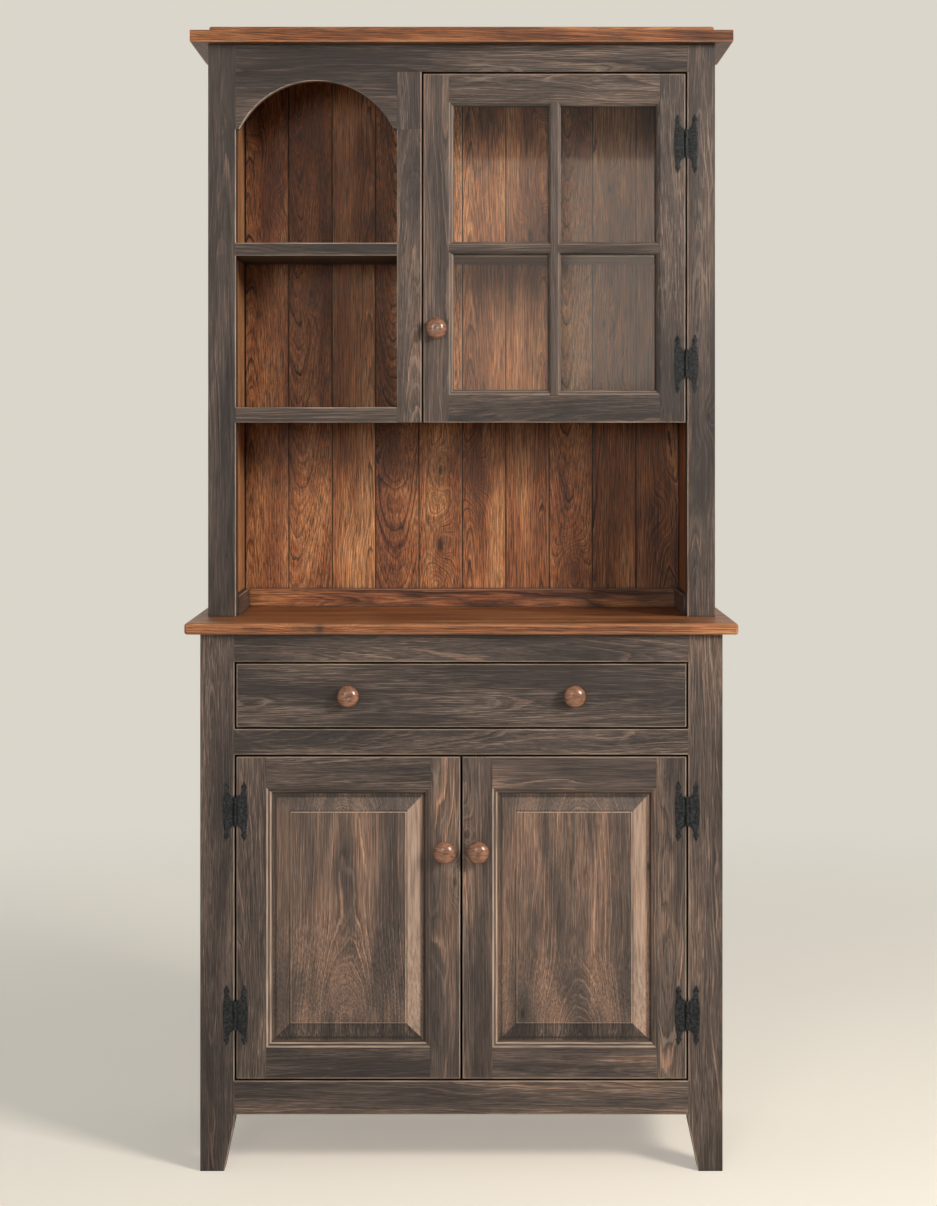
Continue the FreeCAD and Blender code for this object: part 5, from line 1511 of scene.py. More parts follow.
@dataclass
class FramedDoor:
    """A door of two stiles and two rails, with a moulding worked on the inner edges."""

    name: str
    hinge_side: int                 # -1 where the hinges are on the left
    stile: float
    rail: float
    sticking: float
    moulding_depth: float
    thickness: float = 0.0215
    quirk: float = 0.0012
    arris: float = 0.0010
    rub: float = 0.78
    left_share: float = 0.75        # of the rub, on the left stile's outer arris
    end_share: float = 0.8          # of the rub, on the stiles' ends
    # Of the rub, by the way each moulding faces: those facing right and up are lit with bare wood as a
    # painted highlight, those facing left and down stay dark.
    moulding_wear_and_light: dict[tuple[Axis, int], float] = field(default_factory=lambda: {
        (Axis.Z, 1): 1.0, (Axis.Z, -1): 0.10, (Axis.X, 1): 0.85, (Axis.X, -1): 0.12})

    # At the points of a moulding's curve, from the face inwards: light lines of bare wood, partly wear and
    # partly painted highlight, and dark lines, partly dirt and partly painted shade in the quirks.
    BARE_AND_HIGHLIGHT = (1.0, 0.9, 0.0, 0.9, 0.9, 0.1, 0.7)
    DIRT_AND_SHADE = (0.0, 0.0, 0.45, 0.0, 0.0, 0.5, 0.0, 0.8)

    def __post_init__(self) -> None:
        """Read the door's outline from its stiles."""
        hinge_low, hinge_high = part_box(self.name + "_hinge_stile")
        lock_low, lock_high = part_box(self.name + "_lock_stile")
        self.left = min(hinge_low[0], lock_low[0])
        self.right = max(hinge_high[0], lock_high[0])
        self.bottom, self.top = hinge_low[2], hinge_high[2]
        self.face = hinge_low[1]
        self.deep = self.face + self.thickness
        self.logs: dict[str, Log] = {}

    def upright(self, suffix: str, side: int) -> Board:
        """A stile's flat, rubbed along its outer arris and its ends."""
        label = f"{self.name}_{suffix}"
        edge = self.left if side < 0 else self.right
        inner = edge - side * self.stile
        low = (min(edge, inner), self.face, self.bottom)
        high = (max(edge, inner), self.deep, self.top)
        outer = FRONT_LEFT if side < 0 else FRONT_RIGHT
        self.logs[suffix] = Log.sawn(label, low, high, Axis.Z)
        return Board(label, low, high, Axis.Z, rounds={outer: self.arris},
                     rubbed={outer: self.rub if side > 0 else self.rub * self.left_share},
                     end_ease=self.arris, end_wear=self.rub * self.end_share, log=self.logs[suffix])

    def crossrail(self, suffix: str, low_z: float, high_z: float, outer: Arris) -> Board:
        """A rail's flat between the stiles."""
        low = (self.left + self.stile, self.face, low_z)
        high = (self.right - self.stile, self.deep, high_z)
        self.logs[suffix] = Log.sawn(f"{self.name} {suffix}", low, high, Axis.X)
        return Board(f"{self.name} {suffix}", low, high, Axis.X, ease=HAIRLINE,
                     rounds={outer: self.arris}, rubbed={outer: self.rub}, end_ease=HAIRLINE,
                     log=self.logs[suffix])

    def section(self, width: float) -> np.ndarray:
        """The moulding's closed section, its curve first."""
        return np.vstack([quarter_round(width, self.moulding_depth, self.quirk), self.behind(width)])

    def behind(self, width: float) -> np.ndarray:
        """What the section does behind its moulding, from the tip to the edge."""
        return np.array([[width, self.thickness], [0.0, self.thickness]])

    def moulding(self, along: Axis, edge: float, inward: int, start: float, end: float,
                 slopes: tuple[float, float], suffix: str, width: float) -> Skin:
        """One mitred length of moulding on the board named by `suffix`."""
        section = self.section(width)
        wear_and_light = np.zeros(len(section))
        # The lit sides take painted highlight lines of bare wood and the quirks painted shade.
        rub = self.moulding_wear_and_light[along, inward]
        curve = len(section) - len(self.behind(width))
        step = np.arange(curve)
        light, dirt_and_shade = (np.interp(step, np.arange(len(marks)), marks) for marks in (self.BARE_AND_HIGHLIGHT, self.DIRT_AND_SHADE))
        wear_and_light[:curve] = rub * light - dirt_and_shade
        strip = Strip(section, wear_and_light, along, edge, inward, self.face, start, end, *slopes)
        return strip.skin(self.logs[suffix])

    def knob(self, shop: Workshop) -> None:
        """The knob on the lock stile."""
        node = self.name + "_knob"
        low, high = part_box(node)
        centre = ((low[0] + high[0]) / 2, self.face, (low[2] + high[2]) / 2)
        shop.mount(node, [Knob().skin(centre)], self.name, KNOB_WOOD)


@dataclass
class PanelDoor(FramedDoor):
    """A base door with a raised panel that floats in a groove."""

    groove_depth: float = 0.009
    groove_width: float = 0.006
    play: float = 0.0008
    flat: float = 0.005
    bevel: float = 0.025
    bevel_rise: float = 0.007
    hollow: float = 0.25            # how much of its rise the bevel makes late
    field_step: float = 0.001
    shoulder: float = 0.0004
    ease: float = 0.0008
    mitre: float = 0.0004
    # Of the panel's four sides: bottom, right, top, left. These paint light and shade by the way each side
    # faces the light: the right bevel lighter as a painted highlight, the bottom and left bevels darker as
    # painted shade, dark lines of painted shade at each bevel's foot and crest, and light arris lines on
    # the field that are partly wear and partly painted highlight.
    bevel_highlight: Sequence[float] = (0.0, 0.62, 0.08, 0.07)
    bevel_foot_shade: Sequence[float] = (-0.7, -0.3, -0.8, -0.7)
    bevel_crest_shade: Sequence[float] = (-0.3, -0.2, -0.6, -0.5)
    bevel_shading_tone: Sequence[float] = (-0.34, 0.24, -0.10, 0.05)
    field_wear_and_highlight: Sequence[float] = (0.65, 1.1, 1.1, 0.8)

    def behind(self, width: float) -> np.ndarray:
        """The panel's groove, then the back."""
        deep = self.moulding_depth + self.groove_width
        tip = width - self.groove_depth
        return np.array([[tip, self.moulding_depth], [tip, deep], [width, deep], [width, self.thickness],
                         [0.0, self.thickness]])

    def build(self, shop: Workshop) -> None:
        """Make the door's pieces."""
        left, right = self.left + self.stile, self.right - self.stile
        low, high = self.bottom + self.rail, self.top - self.rail
        mitre = (1.0, 1.0)
        suffixes = ("hinge_stile", "lock_stile") if self.hinge_side < 0 else ("lock_stile", "hinge_stile")
        for suffix, side, edge in ((suffixes[0], -1, left), (suffixes[1], 1, right)):
            flat = self.upright(suffix, side)
            strip = self.moulding(Axis.Z, edge, -side, low, high, mitre, suffix, self.sticking)
            shop.mount(f"{self.name}_{suffix}", [flat, strip], self.name, CHARCOAL)
        rails = [self.crossrail("bottom rail", self.bottom, low, FRONT_BOTTOM),
                 self.moulding(Axis.X, low, 1, left, right, mitre, "bottom rail", self.sticking),
                 self.crossrail("top rail", high, self.top, FRONT_TOP),
                 self.moulding(Axis.X, high, -1, left, right, mitre, "top rail", self.sticking)]
        shop.mount(f"{self.name}_rails", rails, self.name, CHARCOAL)
        self.panel(shop, (left + self.sticking, low + self.sticking),
                   (right - self.sticking, high - self.sticking))
        self.knob(shop)

    def panel(self, shop: Workshop, low: tuple[float, float], high: tuple[float, float]) -> None:
        """The raised panel: rings of a rectangle, each drawn in further and at its own depth.

        Going in from the tongue: a flat margin, a hollow bevel that rises by (1 - h) s + h s^2, a
        small shoulder with a rounded arris, and the field. A ring has two points at each corner, a
        mitre's width apart, so that each side carries its own rub and its own painted light and shade:
        bottom, right, top, left.
        """
        ground = self.moulding_depth
        crest = ground - self.bevel_rise
        field_face = crest - self.field_step
        share = np.linspace(0, 1, 9)
        slope = np.column_stack([self.flat + self.bevel * share,
                                 ground - self.bevel_rise * ((1 - self.hollow) * share
                                                             + self.hollow * share ** 2)])
        inner = self.flat + self.bevel
        turn = np.radians([0.0, 30.0, 60.0, 90.0])
        arris = np.column_stack([inner + self.shoulder + self.ease * (1 - np.cos(turn)),
                                 field_face + self.ease * (1 - np.sin(turn))])
        tongue = self.groove_depth - self.play
        back = ground + self.groove_width
        groove = [[self.bevel * 2, back], [-tongue, back], [-tongue, ground], [0.0, ground]]
        rows = np.vstack([groove, slope, arris, [inner + self.ease + FADE, field_face],
                          [inner + self.ease + FADE * 4, field_face]])
        bevel = slice(len(groove), len(groove) + len(slope))
        side_wear_and_light = np.zeros((len(rows), 4))
        side_wear_and_light[bevel] = self.bevel_highlight
        side_wear_and_light[bevel.start] = self.bevel_foot_shade
        side_wear_and_light[bevel.stop - 1] = self.bevel_crest_shade
        side_wear_and_light[bevel.stop:bevel.stop + len(arris)] = self.field_wear_and_highlight
        corners = np.array([(0, 0), (1, 0), (1, 1), (0, 1)])
        draw = np.where(corners == 0, 1, -1)
        rings = np.array(low) + corners * np.subtract(high, low) + draw * rows[:, :1, None]
        onward = (np.roll(corners, -1, axis=0) - corners) * self.mitre
        pairs = np.stack([rings + onward, np.roll(rings, -1, axis=1) - onward], axis=2)
        pairs = pairs.reshape(len(rows), 8, 2)
        points = np.stack([pairs[..., 0], np.broadcast_to(self.face + rows[:, 1:], pairs.shape[:2]),
                           pairs[..., 1]], axis=-1)
        log = Log.sawn(self.name + "_panel", (low[0], self.face, low[1]), (high[0], self.deep, high[1]),
                       Axis.Z)
        skin = log.mark(tube(points, np.repeat(side_wear_and_light, 2, axis=1)))
        # Painted light and shade: each bevel's tone is shifted by the way it faces the light.
        side_shading = np.zeros((len(rows), 4))
        side_shading[bevel] = self.bevel_shading_tone
        skin.tone += np.repeat(side_shading, 2, axis=1).ravel()
        shop.mount(self.name + "_panel", [skin], self.name, CHARCOAL)


@dataclass
class GlassDoor(FramedDoor):
    """The hutch door: four lights between the frame and crossing glazing bars."""

    bar_width: float = 0.023
    bar_sticking: float = 0.0052
    bar_ease: float = 0.0004
    rib: float = 0.005
    glass_thickness: float = 0.003
    bead_width: float = 0.006
    bead_depth: float = 0.007
    play: float = 0.0008
    # Of the rub, by the way each moulding faces, as painted light: most on those facing right and up.
    moulding_wear_and_light: dict[tuple[Axis, int], float] = field(default_factory=lambda: {
        (Axis.Z, 1): 0.45, (Axis.Z, -1): 0.0, (Axis.X, 1): 0.50, (Axis.X, -1): 0.10})

    def behind(self, width: float) -> np.ndarray:
        """The rebate for the glass: nothing lies behind the moulding."""
        return np.array([[0.0, self.moulding_depth]])

    def build(self, shop: Workshop) -> None:
        """Make the door's pieces."""
        left, right = self.left + self.stile, self.right - self.stile
        low, high = self.bottom + self.rail, self.top - self.rail
        self.across, self.up = (self.left + self.right) / 2, (self.bottom + self.top) / 2
        self.flat = self.bar_width / 2 - self.bar_sticking
        self.spans = {Axis.X: ((left, self.across - self.flat), (self.across + self.flat, right)),
                      Axis.Z: ((low, self.up - self.flat), (self.up + self.flat, high))}
        for suffix, side, edge in (("lock_stile", -1, left), ("hinge_stile", 1, right)):
            parts = [self.upright(suffix, side), *self.halves(Axis.Z, edge, -side, suffix)]
            shop.mount(f"{self.name}_{suffix}", parts, self.name, CHARCOAL)
        rails = [self.crossrail("bottom rail", self.bottom, low, FRONT_BOTTOM),
                 *self.halves(Axis.X, low, 1, "bottom rail"),
                 self.crossrail("top rail", high, self.top, FRONT_TOP),
                 *self.halves(Axis.X, high, -1, "top rail")]
        shop.mount(f"{self.name}_rails", rails, self.name, CHARCOAL)
        self.bars(shop)
        self.beads(shop)

    def halves(self, along: Axis, edge: float, inward: int, suffix: str) -> list[Skin]:
        """The two lengths of the frame's moulding on one side, mitred to the bar's."""
        to_bar = self.bar_sticking / self.sticking
        return [self.moulding(along, edge, inward, start, end, slopes, suffix, self.sticking)
                for (start, end), slopes in zip(self.spans[along], ((1.0, to_bar), (to_bar, 1.0)))]

    def bars(self, shop: Workshop) -> None:
        """The upright bar, the crossbar in two lengths, their mouldings, and the ribs between panes."""
        rib, flat, across, up = self.rib / 2, self.flat, self.across, self.up
        front, rebate, back = self.face, self.face + self.moulding_depth, self.deep
        (left, _), (_, right) = self.spans[Axis.X]
        (low, _), (_, high) = self.spans[Axis.Z]
        upright = Log.sawn("upright bar", (across - flat, front, low), (across + flat, back, high), Axis.Z)
        cross = Log.sawn("cross bar", (left, front, up - flat), (right, back, up + flat), Axis.X)
        self.logs |= {"upright": upright, "cross": cross}
        parts = [Board("upright bar", (across - flat, front, low), (across + flat, rebate, high), Axis.Z,
                       ease=self.bar_ease, log=upright, end_ease=HAIRLINE),
                 Board("upright rib", (across - rib, rebate, low), (across + rib, back, high), Axis.Z,
                       log=upright, end_ease=HAIRLINE)]
        parts += [Board("cross bar", (start, front, up - flat), (end, rebate, up + flat), Axis.X,
                        ease=self.bar_ease, log=cross, end_ease=HAIRLINE)
                  for start, end in self.spans[Axis.X]]
        parts += [Board("cross rib", (start, rebate, up - rib), (end, back, up + rib), Axis.X, log=cross,
                        end_ease=HAIRLINE) for start, end in ((left, across - rib), (across + rib, right))]
        to_frame = self.sticking / self.bar_sticking
        for along, middle, suffix in ((Axis.Z, across, "upright"), (Axis.X, up, "cross")):
            for (start, end), slopes in zip(self.spans[along], ((to_frame, 1.0), (1.0, to_frame))):
                parts += [self.moulding(along, middle + inward * flat, inward, start, end, slopes, suffix,
                                        self.bar_sticking) for inward in (-1, 1)]
        shop.mount(f"{self.name}_muntins", parts, self.name, CHARCOAL)

    def beads(self, shop: Workshop) -> None:
        """Four beads round the back of each pane, and the knob."""
        near = self.face + self.moulding_depth + self.glass_thickness
        far = near + self.bead_depth
        low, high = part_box(self.name + "_panes")
        across, up = (low[0] + high[0]) / 2, (low[2] + high[2]) / 2
        gap, wide = self.rib / 2 + self.play, self.bead_width
        beads = []
        for start, end in ((low[0], across - gap), (across + gap, high[0])):
            for foot, head in ((low[2], up - gap), (up + gap, high[2])):
                beads += [Board(f"bead {edge:.3f} {foot:.3f}", (edge, near, foot), (next_edge, far, head),
                                Axis.Z) for edge, next_edge in ((start, start + wide), (end - wide, end))]
                beads += [Board(f"bead {start:.3f} {edge:.3f}", (start + wide, near, edge),
                                (end - wide, far, next_edge), Axis.X)
                          for edge, next_edge in ((foot, foot + wide), (head - wide, head))]
        shop.mount(f"{self.name}_glazing_beads", beads, self.name, CHARCOAL)
        self.knob(shop)


@dataclass
class SurfaceHinge:
    """A wrought surface hinge: two spear-ended leaves on a barrel of three knuckles."""

    pin_x: float
    face: float
    middle: float
    thickness: float = 0.0020
    barrel_radius: float = 0.0028
    barrel_clearance: float = 0.0004
    knuckle: float = 0.0163
    knuckle_gap: float = 0.0004
    knuckle_ease: float = 0.0003
    knuckle_steps: int = 28
    bore: float = 0.0015
    rows: int = 81
    columns: int = 9
    seat: float = 0.0001            # gap that keeps the plate's back off the wood's face
    edge_round: float = 0.0014      # width of the plate's cushioned edge
    edge_drop: float = 0.0007       # how far the plate falls off there
    dent_depth: float = 0.00022
    dent_sink: float = 0.0002       # how far the hammered part lies below the rim
    dent_inside: float = 0.9        # how far up its cushion the hammered part begins
    dent_pitch: Stretch = (1450.0, 1500.0)      # radians to the metre, up and across
    wander: float = 1.7             # how far the dents leave their rows, in radians
    wander_pitch: Stretch = (310.0, 900.0)
    wander_shift: float = 40.0      # by the hinge's height, so that no two are alike
    wander_share: float = 0.6       # of it, across
    root: Stretch = (0.0018, 0.0034)    # where a knuckle's root begins and ends, from the pin
    root_ease: float = 0.0002
    screw_radius: float = 0.0021
    screw_rise: float = 0.0009
    screw_sink: float = 0.0002
    screw_rim: float = 0.0001       # height of the dome's straight edge
    screw_skirt: float = 0.0004     # what goes on below it

    # Half outline from the middle up: height, nearest and farthest place from the pin, millimetres.
    HALF_OUTLINE = ((0.0, 3.2, 21.0), (12.0, 3.2, 20.7), (24.2, 3.2, 19.5), (24.9, 3.6, 19.4),
                    (29.0, 9.0, 18.7), (33.0, 10.3, 18.0), (36.5, 11.4, 17.6), (38.6, 10.4, 18.8),
                    (40.5, 9.6, 19.8), (44.5, 11.7, 18.0), (51.0, 14.9, 15.1))
    SCREWS = ((15.0, 42.0), (15.0, -42.0), (12.5, 22.0), (12.5, -22.0))

    def leaf(self, side: int, knuckles: tuple[int, ...]) -> list[Skin]:
        """A leaf and its knuckles.

        The plate is a grid of height and share across; its front bulges by a low cushion and
        carries shallow hammer dents, a product of two sines whose phase wanders.

        Args:
            side: Which side of the pin it lies on.
            knuckles: The numbers of its knuckles from the bottom.

        Returns:
            Its shells.
        """
        half = np.array(self.HALF_OUTLINE) / 1000
        height = np.linspace(-half[-1, 0], half[-1, 0], self.rows)
        near = np.interp(np.abs(height), half[:, 0], half[:, 1])
        far = np.interp(np.abs(height), half[:, 0], half[:, 2])
        share = np.linspace(0, 1, self.columns)
        reach = near[:, None] + (far - near)[:, None] * share
        edge = np.clip(np.minimum(share, 1 - share) * (far - near)[:, None] / self.edge_round, 0, 1)
        rise = np.sqrt(1 - (1 - edge) ** 2)
        start = self.middle * self.wander_shift
        wander = (self.wander * np.sin(height[:, None] * self.wander_pitch[0] + start + side)
                  + reach * self.wander_pitch[1])
        dents = (self.dent_depth * np.sin(height[:, None] * self.dent_pitch[0] + wander)
                 * np.sin(reach * self.dent_pitch[1] + wander * self.wander_share))
        proud = (self.thickness - self.edge_drop * (1 - rise)
                 + np.where(rise > self.dent_inside, dents - self.dent_sink, 0))
        front = np.stack([self.pin_x + side * reach, self.face - proud,
                          np.broadcast_to(self.middle + height[:, None], reach.shape)], axis=-1)
        back = front.copy()
        back[..., 1] = self.face - self.seat
        skins = [tube(np.concatenate([front, back[:, ::-1]], axis=1),
                      np.zeros((self.rows, self.columns * 2)))]
        for number in knuckles:
            low = self.middle + self.knuckle * (number - 1.5) + self.knuckle_gap / 2
            skins += self.barrel(low, low + self.knuckle - self.knuckle_gap, side)
        return [PLAIN_LOG.mark(skin) for skin in skins]

    def barrel(self, low: float, high: float, side: int) -> list[Skin]:
        """One knuckle: a short tube round the pin, open at both ends, and its root on the leaf."""
        centre_y = self.face - self.barrel_radius - self.barrel_clearance
        ease, outer, steps = self.knuckle_ease, self.barrel_radius, self.knuckle_steps
        angle = np.linspace(0, 2 * math.pi, steps, endpoint=False)
        profile = np.array([[self.bore, low], [outer - ease, low], [outer, low + ease],
                            [outer, high - ease], [outer - ease, high], [self.bore, high]])
        ring = np.stack([self.pin_x + profile[:, :1] * np.cos(angle),
                         centre_y + profile[:, :1] * np.sin(angle),
                         np.broadcast_to(profile[:, 1:], (len(profile), steps))], axis=-1)
        index = np.arange(len(profile) * steps).reshape(len(profile), steps)
        onward = np.roll(index, -1, axis=1)
        inner, inner_on = np.roll(index, -1, axis=0), np.roll(onward, -1, axis=0)
        quads = np.stack([index, onward, inner_on, inner], axis=-1).reshape(-1, 4)
        left, right = sorted(self.pin_x + side * reach for reach in self.root)
        root = Board("root", (left, self.face - self.thickness, low), (right, self.face - self.seat, high),
                     Axis.Z, ease=self.root_ease, end_ease=self.root_ease)
        return [Skin(ring.reshape(-1, 3), quads, [], np.zeros(index.size)).outward(), root.skin()]

    def screws(self, side: int) -> list[Skin]:
        """Four round-headed screws on a leaf, each a low dome."""
        radius = self.screw_radius
        angle = np.linspace(0, math.pi / 2 - 0.06, 7)
        dome = np.column_stack([radius * np.cos(angle), self.screw_rim + self.screw_rise * np.sin(angle)])
        profile = np.vstack([[[radius, -self.screw_skirt]], dome]) * [1, -1]
        seat = self.face - self.thickness + self.screw_sink
        return [PLAIN_LOG.mark(turned(profile, (self.pin_x + side * reach, seat, self.middle + height),
                                      Axis.Y, np.zeros(len(profile)), steps=20))
                for reach, height in np.array(self.SCREWS) / 1000]


@dataclass
class Hinges:
    """All six hinges: two on each door."""

    def build(self, shop: Workshop) -> None:
        """Make the leaves on the frame and on the doors, and their screws."""
        reach = max(row[2] for row in SurfaceHinge.HALF_OUTLINE) / 1000
        tip = SurfaceHinge.HALF_OUTLINE[-1][0] / 1000
        on_frame: list[Skin] = []
        frame_screws: list[Skin] = []
        for door, post_side in (("left_door", -1), ("right_door", 1), ("glass_door", 1)):
            node = door + "_hinge_leaves"
            low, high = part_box(node)
            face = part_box(door + "_hinge_stile")[0][1]
            pin_x = (low[0] if post_side > 0 else high[0]) + post_side * reach
            leaves: list[Skin] = []
            screws: list[Skin] = []
            for middle in (low[2] + tip, high[2] - tip):
                hinge = SurfaceHinge(pin_x, face, middle)
                leaves += hinge.leaf(-post_side, (1,))
                screws += hinge.screws(-post_side)
                on_frame += hinge.leaf(post_side, (0, 2))
                frame_screws += hinge.screws(post_side)
            shop.mount(node, leaves, door, IRON)
            shop.add(door + "_hinge_screws", screws, door, IRON)
        shop.mount("frame_hinge_leaves", on_frame, "cabinet", IRON)
        shop.add("frame_hinge_screws", frame_screws, "cabinet", IRON)


@dataclass
class Fittings:
    """The small wooden parts that carry and stop the drawer and the doors."""

    places: Places
    runner_width: float = 0.040
    runner_thickness: float = 0.018
    guide_height: float = 0.018
    guide_width: float = 0.0075
    kicker_height: float = 0.028
    stop_length: float = 0.120
    stop_size: float = 0.016

    def build(self, shop: Workshop) -> None:
        """Make the runners, guides and kickers, and the two door stops."""
        place = self.places
        low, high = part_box("drawer_runners")
        sill = place.drawer_sill
        jamb, inner = place.base_jamb, place.base_jamb - self.runner_width
        parts = ((inner, jamb, sill - self.runner_thickness, sill),
                 (jamb - self.guide_width, jamb, sill, sill + self.guide_height),
                 (inner, jamb, high[2] - self.kicker_height, high[2]))
        boards = []
        for side in (-1, 1):
            for near, far, foot, head in parts:
                ends = mirrored((near, low[1], foot), (far, high[1], head), side)
                boards.append(Board(f"runner {side} {foot}", *ends, Axis.Y))
        shop.mount("drawer_runners", boards, "cabinet", PLAIN)
        low, high = corners("door_stops")
        size, half = self.stop_size, self.stop_length / 2
        lower_head = place.door_head + size
        base_stop = Board("base door stop", (-half, low[1], low[2]), (half, low[1] + size, lower_head),
                          Axis.X)
        hutch_stop = Board("hutch door stop", (high[0] - self.stop_length, high[1] - size,
                                               high[2] - lower_head + low[2]), high, Axis.X)
        shop.mount("door_stops", [base_stop, hutch_stop], "cabinet", PLAIN)


# ---------------------------------------------------------------- the studio

@dataclass(frozen=True)
class Light:
    """A square soft light: its middle, the point it looks at, its side, watts and colour."""

    name: str
    place: Corner
    target: Corner
    size: float
    power: float
    colour: str

    def turn(self) -> Corner:
        """The turn that points its -Z at its target."""
        direction = np.subtract(self.target, self.place)
        flat = math.hypot(direction[0], direction[1])
        return (math.atan2(flat, -direction[2]), 0.0, math.atan2(-direction[0], direction[1]))


@dataclass(frozen=True)
class Card:
    """A soft-edged glowing card behind the camera that shows only where it is mirrored."""

    name: str
    place: Corner
    half: tuple[float, float]       # half its width and half its height
    glow: float
    soft: float                     # the share of each half over which its glow falls off
    colour: str = "#fde4d2"
    closed: bool = False            # whether it hides what is behind it as far as it glows


@dataclass
class Studio:
    """Camera, lights, the cards that the panes mirror, world and floor."""

    focal_length: float = 81.7
    camera_place: Corner = (0.012, -4.7935, 1.2625)
    frame_height: int = 1206
    horizon_row: int = 420
    backdrop: str = "#dbd6cb"
    surround: str = "#f6f3ee"
    floor_colour: str = "#f0ebe0"
    fill: float = 0.24
    floor_glow: float = 0.36
    floor_half: float = 30.0
    floor_reach: Stretch = (1.0, 4.2)   # over which the floor turns into the backdrop

    KEY_LAMP = Light("key_lamp", (2.8, -3.1, 2.52), (0.0, -0.1, 1.1), 1.1, 156.0, "#fff5ea")
    SOFT_BOX = Light("front_soft_box", (-1.3, -6.5, 1.95), (0.0, 0.0, 1.1), 1.3, 82.0, "#fdf8f2")
    CARDS = (Card("window_card", (0.75, -9.0, 2.0), (0.28, 0.72), 0.84, 0.35),
             Card("haze_card", (0.45, -9.2, 1.80), (1.2, 0.81), 0.62, 0.05),
             Card("room_card", (0.0, -9.6, 2.4), (7.0, 3.6), 0.27, 0.3, "#fdf6ee", closed=True))

    def build(self) -> None:
        """Set up the view, the lights and the ground."""
        scene = bpy.context.scene
        scene.view_settings.view_transform = "Standard"
        self.camera(scene)
        self.world(scene)
        self.floor()
        self.lamp(self.KEY_LAMP)
        self.soft_box(self.SOFT_BOX)
        for card in self.CARDS:
            self.card(card)

    def camera(self, scene: bpy.types.Scene) -> None:
        """A level camera at eye height; the frame is shifted down so that uprights stay parallel."""
        data = bpy.data.cameras.new("camera")
        data.lens = self.focal_length
        data.shift_y = -(self.frame_height / 2 - self.horizon_row) / self.frame_height
        camera = bpy.data.objects.new("camera", data)
        camera.location = self.camera_place
        camera.rotation_euler = (math.radians(90), 0.0, 0.0)
        scene.collection.objects.link(camera)
        scene.camera = camera

    def world(self, scene: bpy.types.Scene) -> None:
        """An even pale surround; the camera sees it as the backdrop."""
        world = bpy.data.worlds.new("surround")
        world.use_nodes = True
        graph = Graph(world.node_tree)
        seen = graph.add("Background", {"Color": linear(self.backdrop), "Strength": 1.0})
        lit = graph.add("Background", {"Color": linear(self.surround), "Strength": self.fill})
        graph.surface(graph.add("MixShader", {0: self.looked_at(graph), 1: lit, 2: seen}), "OutputWorld")
        scene.world = world

    @staticmethod
    def looked_at(graph: Graph) -> Socket:
        """1 for what the camera sees itself, in a gloss or through glass, and 0 for light."""
        path = add_node(graph.tree, "LightPath").outputs
        glossy = graph.math("MAXIMUM", path["Is Camera Ray"], path["Is Glossy Ray"])
        return graph.math("MAXIMUM", glossy, path["Is Transmission Ray"])

    @staticmethod
    def sheet(name: str, half: tuple[float, float], up: int, material: bpy.types.Material,
              place: Corner = (0.0, 0.0, 0.0)) -> bpy.types.Object:
        """A stage piece of one rectangle.

        Args:
            name: The object's name.
            half: Half its width, along X, and half its other side.
            up: The axis of the other side; below 0 for the sheet turned over.
            material: Its material.
            place: Its middle.

        Returns:
            The new object.
        """
        points = np.zeros((4, 3))
        points[:, 0] = np.multiply((-1, 1, 1, -1), half[0])
        points[:, abs(up)] = np.multiply((-1, -1, 1, 1), math.copysign(half[1], up))
        mesh = bpy.data.meshes.new(name)
        mesh.from_pydata(points, [], [(0, 1, 2, 3)])
        mesh.materials.append(material)
        piece = bpy.data.objects.new(name, mesh)
        piece.location = place
        bpy.context.scene.collection.objects.link(piece)
        return piece

    def card(self, card: Card) -> None:
        """Make a card; its glow falls off as smooth steps of |x| and |z|."""
        material, graph = Graph.of_material(card.name + "_glow")
        size = graph.vector("ABSOLUTE", graph.add("TexCoord", None, "Object"))
        away = add_node(graph.tree, "SeparateXYZ", {0: size}).outputs
        strength = graph.math("MINIMUM", graph.add("LightPath", None, "Glossy Depth"), 1.0)
        for axis, reach in ((0, card.half[0]), (2, card.half[1])):
            fall = graph.spread(away[axis], (reach, reach * (1 - card.soft)), curve="SMOOTHSTEP")
            strength = graph.math("MULTIPLY", fall, strength)
        clear = graph.add("BsdfTransparent")
        shine = {"Color": linear(card.colour), "Strength": card.glow}
        if card.closed:
            graph.surface(graph.add("MixShader", {0: strength, 1: clear, 2: graph.add("Emission", shine)}))
        else:
            shine["Strength"] = graph.math("MULTIPLY", strength, card.glow)
            graph.surface(graph.add("AddShader", {0: graph.add("Emission", shine), 1: clear}))
        piece = self.sheet(card.name, card.half, 2, material, card.place)
        piece.visible_camera = False
        piece.visible_diffuse = False

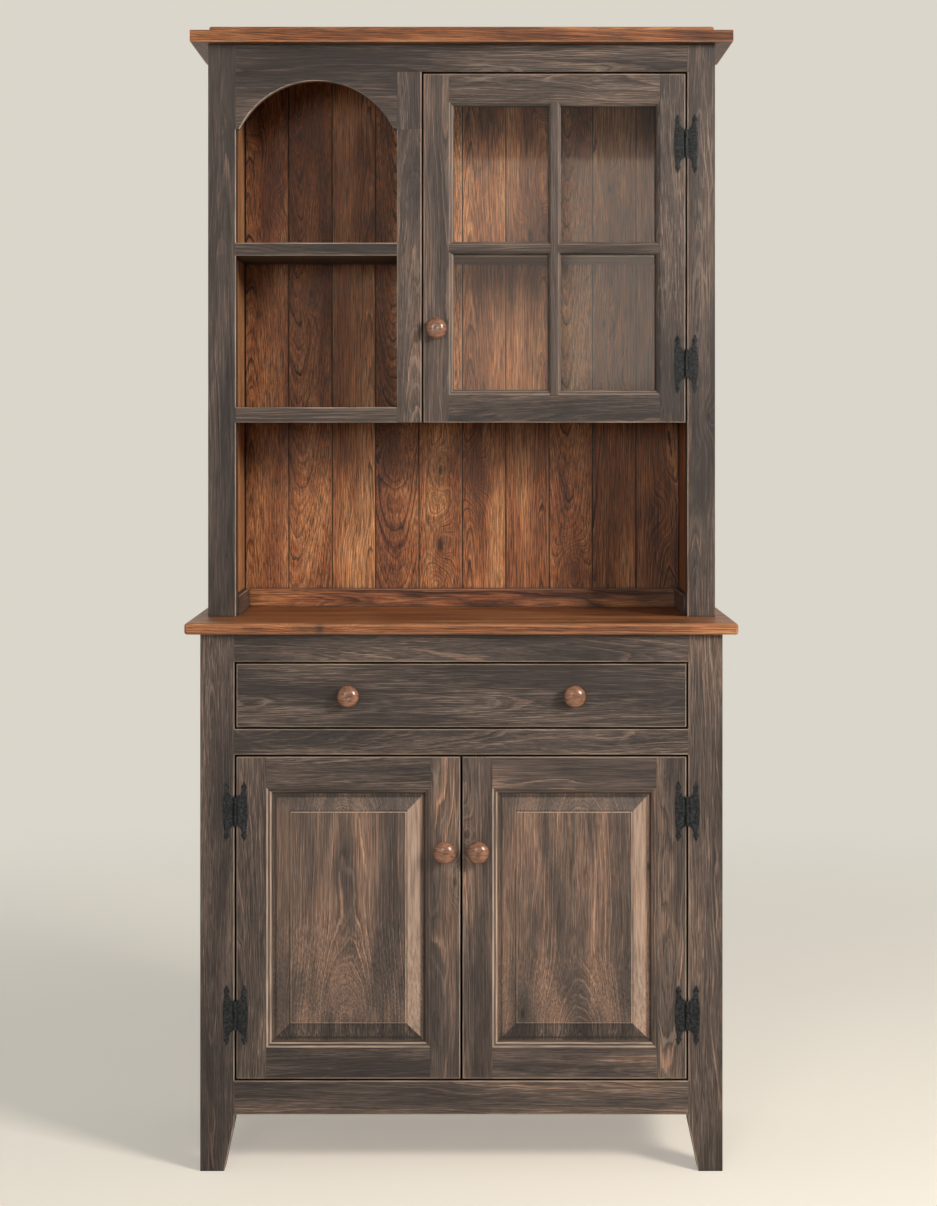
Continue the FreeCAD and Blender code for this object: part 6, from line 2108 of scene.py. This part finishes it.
    def floor(self) -> None:
        """A wide plain floor that runs out into the backdrop's colour."""
        material, graph = Graph.of_material("Pale_Matt_Floor")
        colour = linear(self.floor_colour)
        seen = self.looked_at(graph)
        glow = graph.add("Emission", {"Color": colour, "Strength": graph.math("MULTIPLY", seen,
                                                                              self.floor_glow)})
        near = graph.add("AddShader", {0: graph.add("BsdfDiffuse", {"Color": colour}), 1: glow})
        far = graph.add("Emission", {"Color": linear(self.backdrop), "Strength": seen})
        away = graph.vector("LENGTH", graph.add("TexCoord", None, "Object"), output="Value")
        share = graph.spread(away, self.floor_reach, curve="SMOOTHSTEP")
        graph.surface(graph.add("MixShader", {0: share, 1: near, 2: far}))
        self.sheet("floor", (self.floor_half, self.floor_half), 1, material)

    @staticmethod
    def lamp(light: Light) -> None:
        """A square soft lamp."""
        data = bpy.data.lights.new(light.name, "AREA")
        data.size = light.size
        data.energy = light.power
        data.color = linear(light.colour)[:3]
        lamp = bpy.data.objects.new(light.name, data)
        lamp.visible_camera = False
        lamp.location = light.place
        lamp.rotation_euler = light.turn()
        bpy.context.scene.collection.objects.link(lamp)

    def soft_box(self, light: Light) -> None:
        """A square sheet that glows towards its target and that a pane doesn't mirror.

        Its radiance is power / (pi * area) on the side that looks at the target and 0 behind.
        """
        material, graph = Graph.of_material(light.name + "_glow")
        behind = graph.add("NewGeometry", None, "Backfacing")
        pane_ray = graph.add("LightPath", None, "Is Singular Ray")
        radiance = light.power / (math.pi * light.size ** 2)
        strength = graph.spread(graph.math("MAXIMUM", behind, pane_ray), target=(radiance, 0.0))
        glow = graph.add("Emission", {"Color": linear(light.colour), "Strength": strength})
        graph.surface(graph.add("AddShader", {0: glow, 1: graph.add("BsdfTransparent")}))
        piece = self.sheet(light.name, (light.size / 2, light.size / 2), -1, material, light.place)
        piece.rotation_euler = light.turn()
        piece.visible_camera = False
        piece.visible_shadow = False


def main() -> None:
    """Load the frame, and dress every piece."""
    logging.basicConfig(level=logging.INFO, format="%(name)s: %(message)s")
    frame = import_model()
    Studio().build()
    places = Places.of_frame()
    shop = Workshop()
    BaseCase(places).build(shop)
    HutchCase(places).build(shop)
    Drawer().build(shop)
    Fittings(places).build(shop)
    for name, side in (("left_door", -1), ("right_door", 1)):
        PanelDoor(name, side, stile=0.050, rail=0.052, sticking=0.0105, moulding_depth=0.0095).build(shop)
    GlassDoor("glass_door", 1, stile=0.044, rail=0.048, sticking=0.0087, moulding_depth=0.009).build(shop)
    Hinges().build(shop)
    shop.finish_node(frame, "hinge_pins", STEEL)
    shop.finish_node(frame, "glass_door_panes", GLASS)


if __name__ == "__main__":
    main()
